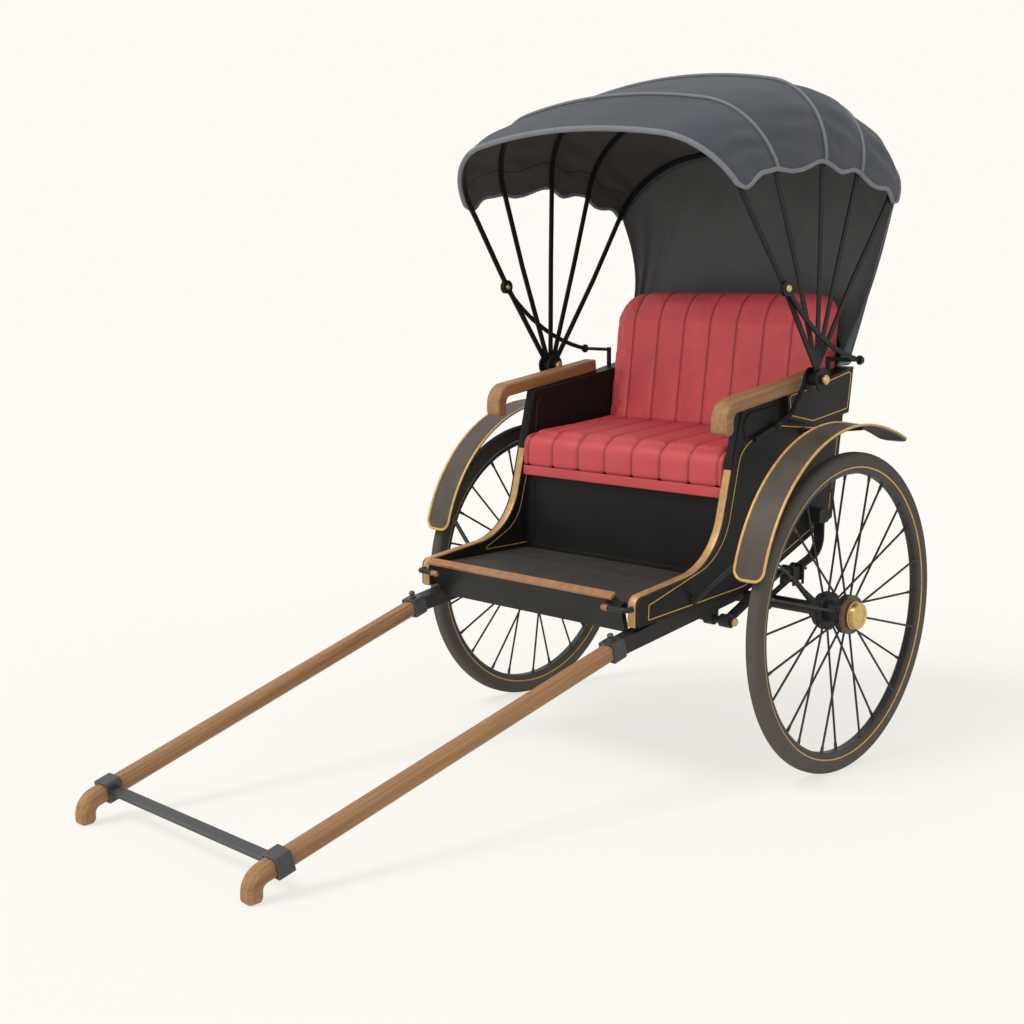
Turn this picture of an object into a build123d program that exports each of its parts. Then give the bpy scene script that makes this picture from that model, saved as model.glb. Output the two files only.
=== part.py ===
"""Pulled rickshaw for two: wire wheels, sprung coach body, folding hood and pull shafts.

The carriage is drawn level, in millimetres: x forward, y to the left and z up, all from the
middle of the axle. Each finished piece is then parked, turned about the axle until the tips
of the shafts stand on the road, with the origin under the middle of the whole carriage.
"""

import os
from math import acos, atan2, cos, degrees, hypot, radians, sin, tan

from build123d import *

os.makedirs("parts", exist_ok=True)

# Wheels and axle
wheel_radius = 500
wheel_track = 1316
tyre_width = 44
tyre_depth = 42
tyre_round = 17
rim_width = 34
rim_depth = 24
spoke_count = 24
spoke_diameter = 7
spoke_spread = 18
spoke_gap = 0.7
axle_diameter = 42
running_fit = 0.05
hub_barrel_diameter = 66
hub_flange_diameter = 114
hub_flange_width = 18
hub_inner = 64
hub_outer = 24
hub_plate_diameter = 122
hub_plate_width = 11
hub_cap_diameter = 84
hub_cap_width = 27
spindle_end_gap = 5
axle_collar_diameter = 106
axle_collar_width = 16
axle_collar_gap = 2

# Coach body, in side view
seat_room = 820
side_thickness = 36
sill_front_x = 744
sill_front_z = 46
sill_rear_x = 214
sill_rear_z = 68
sill_bend = 300
tail_bottom_x = -264
tail_bottom_z = 246
tail_top_x = -333
tail_top_z = 738
arm_bend_x = -120
arm_bend_z = 697
arm_front_x = 250
arm_front_z = 644
scoop_x = 365
scoop_z = 173
scoop_radius = 210
nose_z = 128
nose_radius = 26
quarter_thickness = 20
quarter_front_x = 50
quarter_bottom_z = 564
quarter_low_x = -105
quarter_rise = 26
quarter_rake = 14
floor_top_z = 110
floor_thickness = 22
kick_x = 290
kick_thickness = 18
kick_recess = 4
kick_margin = 34
seat_board_z = 368
seat_board_thickness = 28
seat_nose = 12
back_panel_thickness = 18
back_panel_top_z = 900
back_panel_round = 130
under_board_thickness = 16
soft_gap = 0.4

# Toe board with its cap moulding and pegs
toe_top_x = 778
toe_top_z = 126
toe_bottom_x = 710
toe_bottom_z = 17
toe_end_gap = 5
toe_taper = 33
toe_thickness = 18
toe_scoop = 26
toe_cap_width = 26
toe_cap_height = 9
toe_peg_diameter = 16
toe_peg_length = 88
toe_peg_z = 98
toe_peg_reach = 32
toe_peg_bend = 16

# Upholstery
cushion_front_x = 312
cushion_front_z = 506
cushion_rear_z = 540
cushion_nose = 42
back_rake_x = -122
back_top_front_x = -168
back_top_front_z = 875
back_top_z = 962
back_roll = 70
back_heel = 9
back_corner = 95

# Armrests
arm_width = 60
arm_height = 42
arm_inside = 22
arm_tip_x = 404
arm_scroll_drop = 82
arm_scroll_radius = 46
arm_scroll_end = 19
arm_edge_round = 9

# Shafts, sockets and pull bar
socket_x = 811
socket_y = 411
socket_z = -10
collar_x = 1952
collar_y = 364
collar_z = -313
shaft_size = 45
shaft_bevel = 9
sleeve_wall = 6.5
sleeve_length = 46
sleeve_round = 8
sleeve_fit = 0.2
tip_x = 2028
tip_end_z = -390
tip_bend = 40
tip_round = 14
bar_width = 30
bar_height = 13
rail_rear_depth = 19
rail_meets_sill_x = 590

# Springs
spring_y = 470
spring_width = 36
leaf_thickness = 7
leaf_count = 3
eye_x = 350
eye_z = 5
eye_diameter = 40
hanger_rod_diameter = 22
hanger_width = 32
hanger_length = 38
saddle_top_z = 100
saddle_length = 76
saddle_height = 22
saddle_clamp_width = 22
saddle_clamp_wall = 11
spring_rise_x = -150
spring_rise_bend = 95
spring_top_z = 246
bracket_height = 46
bracket_length = 54
stay_diameter = 18

# Mudguards
guard_gap = 15
guard_set_back = 13
guard_lift = 67
guard_thickness = 5
guard_inner_y = 588
guard_outer_y = 693
guard_front_angle = 11.5
guard_top_angle = 97
guard_tail_radius = 750
guard_tail_angle = 18.5
guard_corner = 34
guard_iron_diameter = 14
guard_iron_lift = 7
guard_iron_setback = 260

# Hood
pivot_x = 20
pivot_z = 717
pin_diameter = 12
hood_half_width = 545
bow_reach = 940
bow_width = 18
bow_thickness = 6
bow_pitch = 7
bow_eye_diameter = 36
bow_crank_start = 370
bow_crank_end = 630
bow_corner = 240
crown_slope = 11.2
first_bow_y = 534
disc_diameter = 72
disc_thickness = 6
disc_gap = 1
nut_diameter = 28
nut_height = 10
hood_iron_diameter = 16
iron_knee_x = 48
iron_knee_z = 612
iron_foot_x = 92
iron_foot_z = 575
iron_toe_x = 205
iron_toe_z = 540
stud_radius = 344
stud_diameter = 46
canopy_gap = 4.5
canopy_thickness = 4
canopy_eave = 632
canopy_seam = 0.02
canopy_hem = 0.75
peg_x = -193
peg_z = 768
peg_diameter = 12
peg_head_diameter = 20
peg_post_diameter = 16
prop_thickness = 8
prop_width = 14
prop_eye_diameter = 30
prop_sag = 34
curtain_gap = 0.06
curtain_foot_lift = 5
curtain_half_foot = 448
curtain_wrap = 60
curtain_clear = 2.5
curtain_corner = 36
curtain_foot_slope = 0.5

# Hood bows, front to back: name, lean in degrees forward of upright, share of the longest reach
bows = [
    ("bow_1", 36.75, 0.979),
    ("bow_2", 22.0, 0.966),
    ("bow_3", 0.0, 0.988),
    ("bow_4", -18.0, 0.994),
    ("bow_5", -35.5, 1.000),
]

# Derived sizes
wheel_y = wheel_track / 2
axle_radius = axle_diameter / 2
rim_outer = wheel_radius - tyre_depth
rim_inner = rim_outer - rim_depth
half_room = seat_room / 2
side_y = half_room + side_thickness
quarter_y = side_y + quarter_thickness
arm_y = half_room + arm_inside
arm_slope = (arm_front_z - arm_bend_z) / (arm_front_x - arm_bend_x)
sill_slope = (sill_rear_z - sill_front_z) / (sill_rear_x - sill_front_x)
tail_lean = degrees(atan2(tail_bottom_x - tail_top_x, tail_top_z - tail_bottom_z))
pivot = Vector(pivot_x, 0, pivot_z)

# The directions of the pull bar and of a shaft: along it, across it and up from its top face
socket = Vector(socket_x, socket_y, socket_z)
collar = Vector(collar_x, collar_y, collar_z)
shaft_along = (collar - socket).normalized()
bar_along = Vector(shaft_along.X, 0, shaft_along.Z).normalized()
bar_up = bar_along.cross(Vector(0, 1, 0))
shaft_across = bar_up.cross(shaft_along).normalized()
shaft_up = shaft_along.cross(shaft_across)
shaft_forward = Vector(shaft_along.X, shaft_along.Y, 0).normalized()
tip_corner = collar + shaft_along * ((tip_x - collar_x) / shaft_along.X)
tip_end = Vector(tip_corner.X, tip_corner.Y, tip_end_z)

# The carriage tilts about the axle until the rounded fronts of the shaft tips meet the road
toe_x = tip_x + (shaft_size / 2 - tip_round) * shaft_forward.X
toe_drop = -tip_end_z - tip_round
toe_far = hypot(toe_x, toe_drop)
park_tilt = degrees(atan2(toe_x, toe_drop) - acos((wheel_radius - tip_round) / toe_far))
nose_reach = (tip_x + shaft_size / 2) * cos(radians(park_tilt)) - toe_drop * sin(radians(park_tilt))
axle_x = (wheel_radius - nose_reach) / 2
parking = Location((axle_x, 0, wheel_radius), (0, park_tilt, 0))


def keep(piece, label):
    """Parks a finished piece and writes it."""
    parked = parking * piece
    parked.label = label
    export_step(parked, f"parts/{label}.step")


def keep_pair(left, label):
    """Writes a left piece and its mirror image across the carriage."""
    keep(left, f"{label}_left")
    keep(mirror(left, about=Plane.XZ), f"{label}_right")


def side_plane(y):
    """Side view at a given y: x forward, local y up, extruding inwards, towards -y."""
    return Plane.XZ.offset(-y)


def rod(start, end, diameter):
    """Adds a round bar from start to end to the piece being built."""
    run = Vector(*end) - Vector(*start)
    with Locations(Plane(origin=start, z_dir=run)):
        Cylinder(diameter / 2, run.length, align=(Align.CENTER, Align.CENTER, Align.MIN))


def sill_z(x):
    """Height of the body's lower edge in front of its upward bend."""
    return sill_front_z + sill_slope * (x - sill_front_x)


def tail_x(z):
    """The rear face of the body at a given height."""
    return tail_bottom_x - (z - tail_bottom_z) * tan(radians(tail_lean))


# Tyre: solid rubber, rounded on the road
with BuildPart() as tyre:
    with BuildSketch(Plane.YZ):
        with Locations((wheel_y, rim_outer + tyre_depth / 2)):
            Rectangle(tyre_width, tyre_depth)
        fillet(vertices().group_by(Axis.Y)[-1], radius=tyre_round)
    revolve(axis=Axis.Y)
keep_pair(tyre.part, "tyre")

# Rim: the steel band inside the tyre
with BuildPart() as rim:
    with BuildSketch(Plane.YZ):
        with Locations((wheel_y, rim_inner + rim_depth / 2)):
            Rectangle(rim_width, rim_depth)
        chamfer(vertices().group_by(Axis.Y)[0], length=rim_depth / 4)
    revolve(axis=Axis.Y)
keep_pair(rim.part, "rim")

# Spoked hub: barrel with two flanges, the spokes dished to each flange in turn
spoke_root = hub_flange_diameter / 2 - 1.5 * spoke_diameter
spoke_tip = rim_inner - spoke_gap
# Columns: flange centre and spoke's rim end, both measured outwards from the wheel's plane
spoke_rows = [
    (-hub_inner + hub_flange_width / 2, -spoke_spread / 2),
    (hub_outer - hub_flange_width / 2, spoke_spread / 2),
]
with BuildPart() as spoked_hub:
    with BuildSketch(Plane(origin=(0, wheel_y, 0), x_dir=(0, 1, 0), z_dir=(1, 0, 0))):
        with BuildLine():
            Polyline(
                (-hub_inner, axle_radius + running_fit),
                (-hub_inner, hub_flange_diameter / 2),
                (-hub_inner + hub_flange_width, hub_flange_diameter / 2),
                (-hub_inner + hub_flange_width, hub_barrel_diameter / 2),
                (hub_outer - hub_flange_width, hub_barrel_diameter / 2),
                (hub_outer - hub_flange_width, hub_flange_diameter / 2),
                (hub_outer, hub_flange_diameter / 2),
                (hub_outer, axle_radius + running_fit),
                close=True,
            )
        make_face()
    revolve(axis=Axis.Y)
    for spoke in range(spoke_count):
        flange, rim_end = spoke_rows[spoke % 2]
        turn = radians(360 * spoke / spoke_count)
        rod(
            (spoke_root * cos(turn), wheel_y + flange, spoke_root * sin(turn)),
            (spoke_tip * cos(turn), wheel_y + rim_end, spoke_tip * sin(turn)),
            spoke_diameter,
        )
keep_pair(spoked_hub.part, "spoked_hub")

# Hub plate and hub cap: a bronzed disc and a brass cap that close the hub's end
wheel_plane = Plane.ZX.offset(wheel_y)
with BuildPart(wheel_plane.offset(hub_outer)) as hub_plate:
    Cylinder(
        hub_plate_diameter / 2, hub_plate_width, align=(Align.CENTER, Align.CENTER, Align.MIN)
    )
    chamfer(edges().sort_by(Axis.Y)[-1], length=hub_plate_width / 3)
keep_pair(hub_plate.part, "hub_plate")

with BuildPart(wheel_plane.offset(hub_outer + hub_plate_width)) as hub_cap:
    Cylinder(hub_cap_diameter / 2, hub_cap_width, align=(Align.CENTER, Align.CENTER, Align.MIN))
    fillet(edges().sort_by(Axis.Y)[-1], radius=hub_cap_width / 4)
keep_pair(hub_cap.part, "hub_cap")

# Axle: one round bar with a collar inside each hub
axle_half = wheel_y + hub_outer - spindle_end_gap
with BuildPart(Plane.ZX) as axle:
    Cylinder(axle_radius, 2 * axle_half)
    for side in (-1, 1):
        with Locations((0, 0, side * (wheel_y - hub_inner - axle_collar_gap - axle_collar_width / 2))):
            Cylinder(axle_collar_diameter / 2, axle_collar_width)
keep(axle.part, "axle")

# Side panels: the coach body's sides, scooped at the front and swept up at the tail
with BuildPart() as side_panel:
    with BuildSketch(side_plane(side_y)):
        with BuildLine():
            FilletPolyline(
                (arm_front_x, arm_front_z),
                (scoop_x, scoop_z),
                (sill_front_x, nose_z),
                (sill_front_x, sill_front_z),
                (sill_rear_x, sill_rear_z),
                (tail_bottom_x, tail_bottom_z),
                radius=[scoop_radius, nose_radius, nose_radius / 4, sill_bend],
            )
            Polyline(
                (tail_bottom_x, tail_bottom_z),
                (tail_top_x, tail_top_z),
                (arm_bend_x, arm_bend_z),
                (arm_front_x, arm_front_z),
            )
        make_face()
    extrude(amount=side_thickness)
keep_pair(side_panel.part, "side_panel")

# Quarter panels: the raised panels under the hood's pivots
with BuildPart() as quarter_panel:
    with BuildSketch(side_plane(quarter_y)):
        quarter_tail_z = quarter_bottom_z + quarter_rise
        with BuildLine():
            Polyline(
                (tail_x(quarter_tail_z), quarter_tail_z),
                (tail_top_x, tail_top_z),
                (arm_bend_x, arm_bend_z),
                (quarter_front_x, arm_bend_z + arm_slope * (quarter_front_x - arm_bend_x)),
                (quarter_front_x - quarter_rake, quarter_bottom_z + quarter_rise),
                (quarter_low_x, quarter_bottom_z),
                close=True,
            )
        make_face()
    extrude(amount=quarter_thickness)
    fillet(edges().filter_by(Axis.Y).sort_by(Axis.Z)[0], radius=sill_bend / 2)
keep_pair(quarter_panel.part, "quarter_panel")

# Toe board: leans forward, hollowed where its ends meet the side panels
toe_lean = degrees(atan2(toe_top_x - toe_bottom_x, toe_top_z - toe_bottom_z))
toe_half_top = half_room - toe_end_gap
toe_half_bottom = toe_half_top - toe_taper
toe_length = hypot(toe_top_x - toe_bottom_x, toe_top_z - toe_bottom_z)
toe_normal = (cos(radians(toe_lean)), 0, -sin(radians(toe_lean)))
toe_plane = Plane(origin=(toe_bottom_x, 0, toe_bottom_z), x_dir=(0, 1, 0), z_dir=toe_normal)
with BuildPart() as toe_board:
    with BuildSketch(toe_plane):
        with BuildLine():
            Polyline(
                (-toe_half_bottom, 0),
                (toe_half_bottom, 0),
                (toe_half_top, toe_length),
                (-toe_half_top, toe_length),
                close=True,
            )
        make_face()
        with Locations((toe_half_top, toe_length), (-toe_half_top, toe_length)):
            Circle(toe_scoop, mode=Mode.SUBTRACT)
    extrude(amount=-toe_thickness)
keep(toe_board.part, "toe_board")

# Toe cap: the copper-coloured moulding along the toe board's top edge
with BuildPart() as toe_cap:
    with BuildSketch(toe_plane.offset(-toe_thickness / 2 - toe_cap_width / 2)):
        with Locations((0, toe_length + toe_cap_height / 2)):
            Rectangle(2 * (toe_half_top - toe_scoop), toe_cap_height)
    extrude(amount=toe_cap_width)
    fillet(edges().filter_by(Axis.Y).group_by(Axis.Z)[-1], radius=toe_cap_height / 3)
keep(toe_cap.part, "toe_cap")

# Toe pegs: bent pegs on the noses of the side panels, in front of the toe board
peg_root = Vector(sill_front_x, side_y - side_thickness / 2, toe_peg_z)
peg_front = peg_root + Vector(toe_peg_reach, 0, 0)
with BuildPart() as toe_pegs:
    with BuildLine():
        FilletPolyline(
            peg_root, peg_front, peg_front - Vector(0, toe_peg_length, 0), radius=toe_peg_bend
        )
    with BuildSketch(Plane(origin=peg_root, x_dir=(0, 1, 0), z_dir=(1, 0, 0))):
        Circle(toe_peg_diameter / 2)
    sweep()
    fillet(edges().sort_by(Axis.Y)[0], radius=toe_peg_diameter / 3)
    mirror(about=Plane.XZ)
keep(toe_pegs.part, "toe_pegs")

# Floor board: between the sides, from the toe board back to the kick panel
toe_back_x = toe_bottom_x - toe_thickness / cos(radians(toe_lean))
with BuildPart() as floor_board:
    with BuildSketch(side_plane(half_room)):
        floor_low = floor_top_z - floor_thickness
        with BuildLine():
            Polyline(
                (kick_x - kick_thickness, floor_low),
                (toe_back_x + (floor_low - toe_bottom_z) * tan(radians(toe_lean)), floor_low),
                (toe_back_x + (floor_top_z - toe_bottom_z) * tan(radians(toe_lean)), floor_top_z),
                (kick_x - kick_thickness, floor_top_z),
                close=True,
            )
        make_face()
    extrude(amount=seat_room)
keep(floor_board.part, "floor_board")

# Kick panel: the seat's front wall, with a sunk field
kick_height = seat_board_z - floor_top_z
kick_middle = (kick_x, 0, floor_top_z + kick_height / 2)
kick_plane = Plane(origin=kick_middle, x_dir=(0, 1, 0), z_dir=(1, 0, 0))
with BuildPart() as kick_panel:
    with BuildSketch(kick_plane):
        Rectangle(seat_room, kick_height)
    extrude(amount=-kick_thickness)
    with BuildSketch(kick_plane):
        RectangleRounded(seat_room - 2 * kick_margin, kick_height - kick_margin, kick_margin / 2)
    extrude(amount=-kick_recess, mode=Mode.SUBTRACT)
keep(kick_panel.part, "kick_panel")

# Seat board: carries the cushion, its nose over the kick panel
inner_tail = back_panel_thickness / cos(radians(tail_lean))
seat_top = seat_board_z + seat_board_thickness
with BuildPart() as seat_board:
    with BuildSketch(side_plane(half_room)):
        with BuildLine():
            Polyline(
                (tail_x(seat_board_z) + inner_tail, seat_board_z),
                (kick_x + seat_nose, seat_board_z),
                (kick_x + seat_nose, seat_top),
                (tail_x(seat_top) + inner_tail, seat_top),
                close=True,
            )
        make_face()
    extrude(amount=seat_room)
keep(seat_board.part, "seat_board")

# Back panel: the body's rear wall, rising behind the back cushion with rounded shoulders
tail_normal = (-cos(radians(tail_lean)), 0, -sin(radians(tail_lean)))
back_plane = Plane(origin=(tail_bottom_x, 0, tail_bottom_z), x_dir=(0, -1, 0), z_dir=tail_normal)
back_length = (back_panel_top_z - tail_bottom_z) / cos(radians(tail_lean))
with BuildPart() as back_panel:
    with BuildSketch(back_plane):
        with Locations((0, back_length / 2)):
            Rectangle(seat_room, back_length)
        fillet(vertices().group_by(Axis.Y)[-1], radius=back_panel_round)
    extrude(amount=-back_panel_thickness)
keep(back_panel.part, "back_panel")

# Under board: closes the seat box below, along the sides' upswept edge
with BuildPart() as under_board:
    with BuildSketch(side_plane(half_room)):
        floor_rear = kick_x - kick_thickness
        tail_front = tail_x(tail_bottom_z) + inner_tail
        with BuildLine():
            Polyline(
                (floor_rear, sill_rear_z),
                (sill_rear_x, sill_rear_z),
                (tail_front, tail_bottom_z),
                (
                    tail_x(tail_bottom_z + under_board_thickness) + inner_tail,
                    tail_bottom_z + under_board_thickness,
                ),
                (sill_rear_x, sill_rear_z + under_board_thickness),
                (floor_rear, sill_rear_z + under_board_thickness),
                close=True,
            )
        make_face()
    extrude(amount=seat_room)
keep(under_board.part, "under_board")

# Seat cushion: rolls over at the front, and meets the back cushion's foot behind
cushion_half = half_room - soft_gap
cushion_low = seat_top + soft_gap
back_slope = (back_top_front_x - back_rake_x) / (back_top_front_z - seat_top)
cushion_rear_x = back_rake_x + 2 * soft_gap
with BuildPart() as seat_cushion:
    with BuildSketch(side_plane(cushion_half)):
        rear_top = (cushion_rear_x + back_slope * (cushion_rear_z - cushion_low), cushion_rear_z)
        with BuildLine():
            FilletPolyline(
                (cushion_rear_x, cushion_low),
                (cushion_front_x, cushion_low),
                (cushion_front_x, cushion_front_z),
                rear_top,
                radius=[cushion_nose / 4, cushion_nose],
            )
            Line(rear_top, (cushion_rear_x, cushion_low))
        make_face()
    extrude(amount=2 * cushion_half)
keep(seat_cushion.part, "seat_cushion")

# Back cushion: stands on the seat board against the back panel, rolled over its top
with BuildPart() as back_cushion:
    with BuildSketch(side_plane(cushion_half)):
        behind = inner_tail + soft_gap
        top_front = (back_rake_x + back_slope * (back_top_z - cushion_low), back_top_z)
        top_rear = (tail_x(back_top_z) + behind, back_top_z)
        with BuildLine():
            FilletPolyline(
                (tail_x(cushion_low) + behind, cushion_low),
                (back_rake_x, cushion_low),
                top_front,
                top_rear,
                (tail_x(cushion_low) + behind, cushion_low),
                radius=[back_heel, back_roll, back_roll / 2, back_heel],
            )
        make_face()
    extrude(amount=2 * cushion_half)
    with BuildSketch(Plane.YZ.offset(cushion_front_x)):
        with Locations((0, (back_top_z + cushion_low) / 2)):
            RectangleRounded(2 * cushion_half, back_top_z - cushion_low, back_corner)
        with Locations((0, (back_top_z + 3 * cushion_low) / 4)):
            Rectangle(2 * cushion_half, (back_top_z - cushion_low) / 2)
    extrude(amount=-2 * cushion_front_x, mode=Mode.INTERSECT)
keep(back_cushion.part, "back_cushion")

# Armrests: bent wood on the side panels' top edges, turned down in a scroll at the front
arm_mid = arm_height / 2
arm_rise = arm_mid / cos(atan2(arm_slope, 1))
scroll_x = arm_tip_x - arm_mid
scroll_z = arm_front_z + arm_slope * (scroll_x - arm_front_x) + arm_rise
with BuildPart() as armrest:
    with BuildSketch(side_plane(arm_y + arm_width)):
        with BuildLine():
            FilletPolyline(
                (arm_bend_x + arm_mid, arm_bend_z + arm_slope * arm_mid + arm_rise),
                (scroll_x, scroll_z),
                (scroll_x, scroll_z - arm_scroll_drop),
                radius=arm_scroll_radius,
            )
        trace(line_width=arm_height)
    extrude(amount=arm_width)
    fillet(edges().filter_by(Axis.Y).group_by(Axis.Z)[0], radius=arm_scroll_end)
    for side_face in faces().filter_by(Axis.Y):
        fillet(side_face.edges().sort_by(Axis.Z)[-2:], radius=arm_edge_round)
keep_pair(armrest.part, "armrest")

# Rails: black bars under the sills that run forward to the shaft sockets
rail_half = shaft_size / 2
sleeve_inside = shaft_size + 2 * sleeve_fit
sleeve_outside = sleeve_inside + 2 * sleeve_wall
nose_gap = sleeve_fit + abs(shaft_along.Y) * sleeve_outside / 2
rail_nose = socket - shaft_along * (sleeve_length / 2 + nose_gap)
rail_nose_top = rail_nose + shaft_up * rail_half
rail_nose_low = rail_nose - shaft_up * rail_half
with BuildPart() as rail:
    with BuildSketch(side_plane(socket_y + rail_half)):
        with BuildLine():
            Polyline(
                (rail_nose_low.X, rail_nose_low.Z),
                (rail_nose_top.X, rail_nose_top.Z),
                (rail_meets_sill_x, sill_z(rail_meets_sill_x)),
                (sill_rear_x, sill_rear_z),
                (sill_rear_x, sill_rear_z - rail_rear_depth),
                close=True,
            )
        make_face()
    extrude(amount=shaft_size)
keep_pair(rail.part, "rail")

# Shafts: bevelled square poles that turn down at their tips
shaft_start = socket - shaft_along * (sleeve_length / 2)
with BuildPart() as shaft:
    with BuildLine():
        FilletPolyline(shaft_start, tip_corner, tip_end, radius=tip_bend)
    with BuildSketch(Plane(origin=shaft_start, x_dir=shaft_across, z_dir=shaft_along)):
        Rectangle(shaft_size, shaft_size)
        chamfer(vertices(), length=shaft_bevel)
    sweep()
    fillet(faces().sort_by(Axis.Z)[0].edges(), radius=tip_round)
keep_pair(shaft.part, "shaft")

# Sockets: square iron sleeves that join the shafts to the rails
with BuildPart(Plane(origin=socket, x_dir=shaft_along, z_dir=shaft_up)) as sockets:
    Box(sleeve_length, sleeve_outside, sleeve_outside)
    fillet(edges().filter_by(Axis(socket, shaft_along)), radius=sleeve_round)
    Box(sleeve_length, sleeve_inside, sleeve_inside, mode=Mode.SUBTRACT)
    mirror(about=Plane.XZ)
keep(sockets.part, "sockets")

# Pull bar: a flat iron bar between two sleeves near the shafts' tips
with BuildPart() as pull_bar:
    with Locations(Plane(origin=collar, x_dir=shaft_along, z_dir=shaft_up)):
        Box(sleeve_length, sleeve_outside, sleeve_outside)
    fillet(edges().filter_by(Axis(collar, shaft_along)), radius=sleeve_round)
    with Locations(Plane(origin=collar, x_dir=shaft_along, z_dir=shaft_up)):
        Box(sleeve_length, sleeve_inside, sleeve_inside, mode=Mode.SUBTRACT)
    mirror(about=Plane.XZ)
    with Locations(Plane(origin=(collar_x, 0, collar_z), x_dir=bar_along, z_dir=bar_up)):
        Box(bar_width, 2 * (collar_y - sleeve_inside / 2 - sleeve_wall / 2), bar_height)
keep(pull_bar.part, "pull_bar")

# Springs: leaf packs from a front eye, over the axle and up to the body's tail
spring_outer = spring_y + spring_width / 2
pack_thickness = leaf_count * leaf_thickness
with BuildPart() as spring:
    with BuildSketch(side_plane(spring_outer)):
        leaf_top = saddle_top_z + pack_thickness - leaf_thickness / 2
        with BuildLine():
            FilletPolyline(
                (eye_x, eye_z),
                (saddle_length, leaf_top),
                (-saddle_length / 2, leaf_top),
                (spring_rise_x, leaf_top + (spring_top_z - leaf_top) / 4),
                (spring_rise_x, spring_top_z),
                radius=[spring_rise_bend, spring_rise_bend, 0.75 * spring_rise_bend],
            )
        trace(line_width=leaf_thickness)
        for leaf in range(1, leaf_count):
            with Locations((0, leaf_top - leaf * leaf_thickness)):
                Rectangle(2 * saddle_length - leaf * saddle_length / 2, leaf_thickness)
        with Locations((eye_x, eye_z)):
            Circle(eye_diameter / 2)
            Circle(hanger_rod_diameter / 2 + running_fit, mode=Mode.SUBTRACT)
    extrude(amount=spring_width)
keep_pair(spring.part, "spring")

# Hanger rod: runs across under the body through both front spring eyes
with BuildPart(Plane(origin=(eye_x, 0, eye_z), x_dir=(1, 0, 0), z_dir=(0, 1, 0))) as hanger_rod:
    Cylinder(hanger_rod_diameter / 2, 2 * (spring_outer + hanger_rod_diameter / 2))
keep(hanger_rod.part, "hanger_rod")

# Spring hangers: iron drops from the rails that hold the hanger rod
rail_slope = (sill_rear_z - rail_rear_depth - rail_nose_low.Z) / (sill_rear_x - rail_nose_low.X)
with BuildPart() as spring_hangers:
    with BuildSketch(side_plane(socket_y + hanger_width / 2)):
        rail_low = rail_nose_low.Z + rail_slope * (eye_x - rail_nose_low.X)
        half = hanger_length / 2
        with BuildLine():
            Polyline(
                (eye_x - half, rail_low - rail_slope * half),
                (eye_x - half, eye_z),
                (eye_x + half, eye_z),
                (eye_x + half, rail_low + rail_slope * half),
                close=True,
            )
        make_face()
        with Locations((eye_x, eye_z)):
            Circle(half)
            Circle(hanger_rod_diameter / 2 + running_fit, mode=Mode.SUBTRACT)
    extrude(amount=hanger_width)
    mirror(about=Plane.XZ)
keep(spring_hangers.part, "spring_hangers")

# Spring saddles: seats under the springs, each on two splayed stays that are clamped round the axle
collar_inner_y = wheel_y - hub_inner - axle_collar_gap - axle_collar_width
stay_spread = collar_inner_y - soft_gap - saddle_clamp_width / 2 - spring_y
with BuildPart() as spring_saddles:
    with BuildSketch(side_plane(spring_outer)):
        with Locations((0, saddle_top_z - saddle_height / 2)):
            RectangleRounded(saddle_length, saddle_height, saddle_height / 4)
    extrude(amount=spring_width)
    for foot_y in (spring_y - stay_spread, spring_y + stay_spread):
        rod((0, spring_y, saddle_top_z - saddle_height / 2), (0, foot_y, 0), stay_diameter)
        rod(
            (0, foot_y - saddle_clamp_width / 2, 0),
            (0, foot_y + saddle_clamp_width / 2, 0),
            axle_diameter + 2 * saddle_clamp_wall,
        )
    with Locations(Plane(origin=(0, spring_y, 0), z_dir=(0, 1, 0))):
        Cylinder(axle_radius + running_fit, 4 * stay_spread, mode=Mode.SUBTRACT)
    mirror(about=Plane.XZ)
keep(spring_saddles.part, "spring_saddles")

# Tail brackets: carry the springs' rear ends on the side panels
with BuildPart() as tail_brackets:
    with BuildSketch(side_plane(spring_outer)):
        with Locations((spring_rise_x, spring_top_z + bracket_height / 2)):
            RectangleRounded(bracket_length, bracket_height, bracket_height / 5)
    extrude(amount=spring_outer - side_y)
    mirror(about=Plane.XZ)
keep(tail_brackets.part, "tail_brackets")

# Mudguards: steel strips round the wheels' front and top, with a tail that flies back
guard_radius = wheel_radius + guard_gap
guard_turn = guard_top_angle - guard_front_angle


def round_guard(radius, angle):
    """A point at that radius and angle about a mudguard's centre, behind and above the axle."""
    turn = radians(angle)
    return radius * cos(turn) - guard_set_back, radius * sin(turn) + guard_lift


with BuildPart() as mudguard:
    with BuildSketch(side_plane(guard_outer_y)):
        with BuildLine():
            start_angle = radians(guard_front_angle)
            wrap = JernArc(
                round_guard(guard_radius, guard_front_angle),
                (-sin(start_angle), cos(start_angle)),
                guard_radius,
                guard_turn,
            )
            JernArc(wrap @ 1, wrap % 1, guard_tail_radius, guard_tail_angle)
        trace(line_width=guard_thickness)
    extrude(amount=guard_outer_y - guard_inner_y)
    guard_ends = edges().filter_by(lambda edge: edge.length < 2 * guard_thickness)
    fillet(guard_ends, radius=guard_corner)
keep_pair(mudguard.part, "mudguard")

# Mudguard irons: round stays from the side panels to the inside of each mudguard
iron_seat = guard_radius - guard_thickness / 2 - guard_iron_diameter / 2 - soft_gap
top_x, top_z = round_guard(iron_seat, guard_top_angle)
front_x, front_z = round_guard(iron_seat, guard_front_angle + guard_iron_lift)
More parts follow.
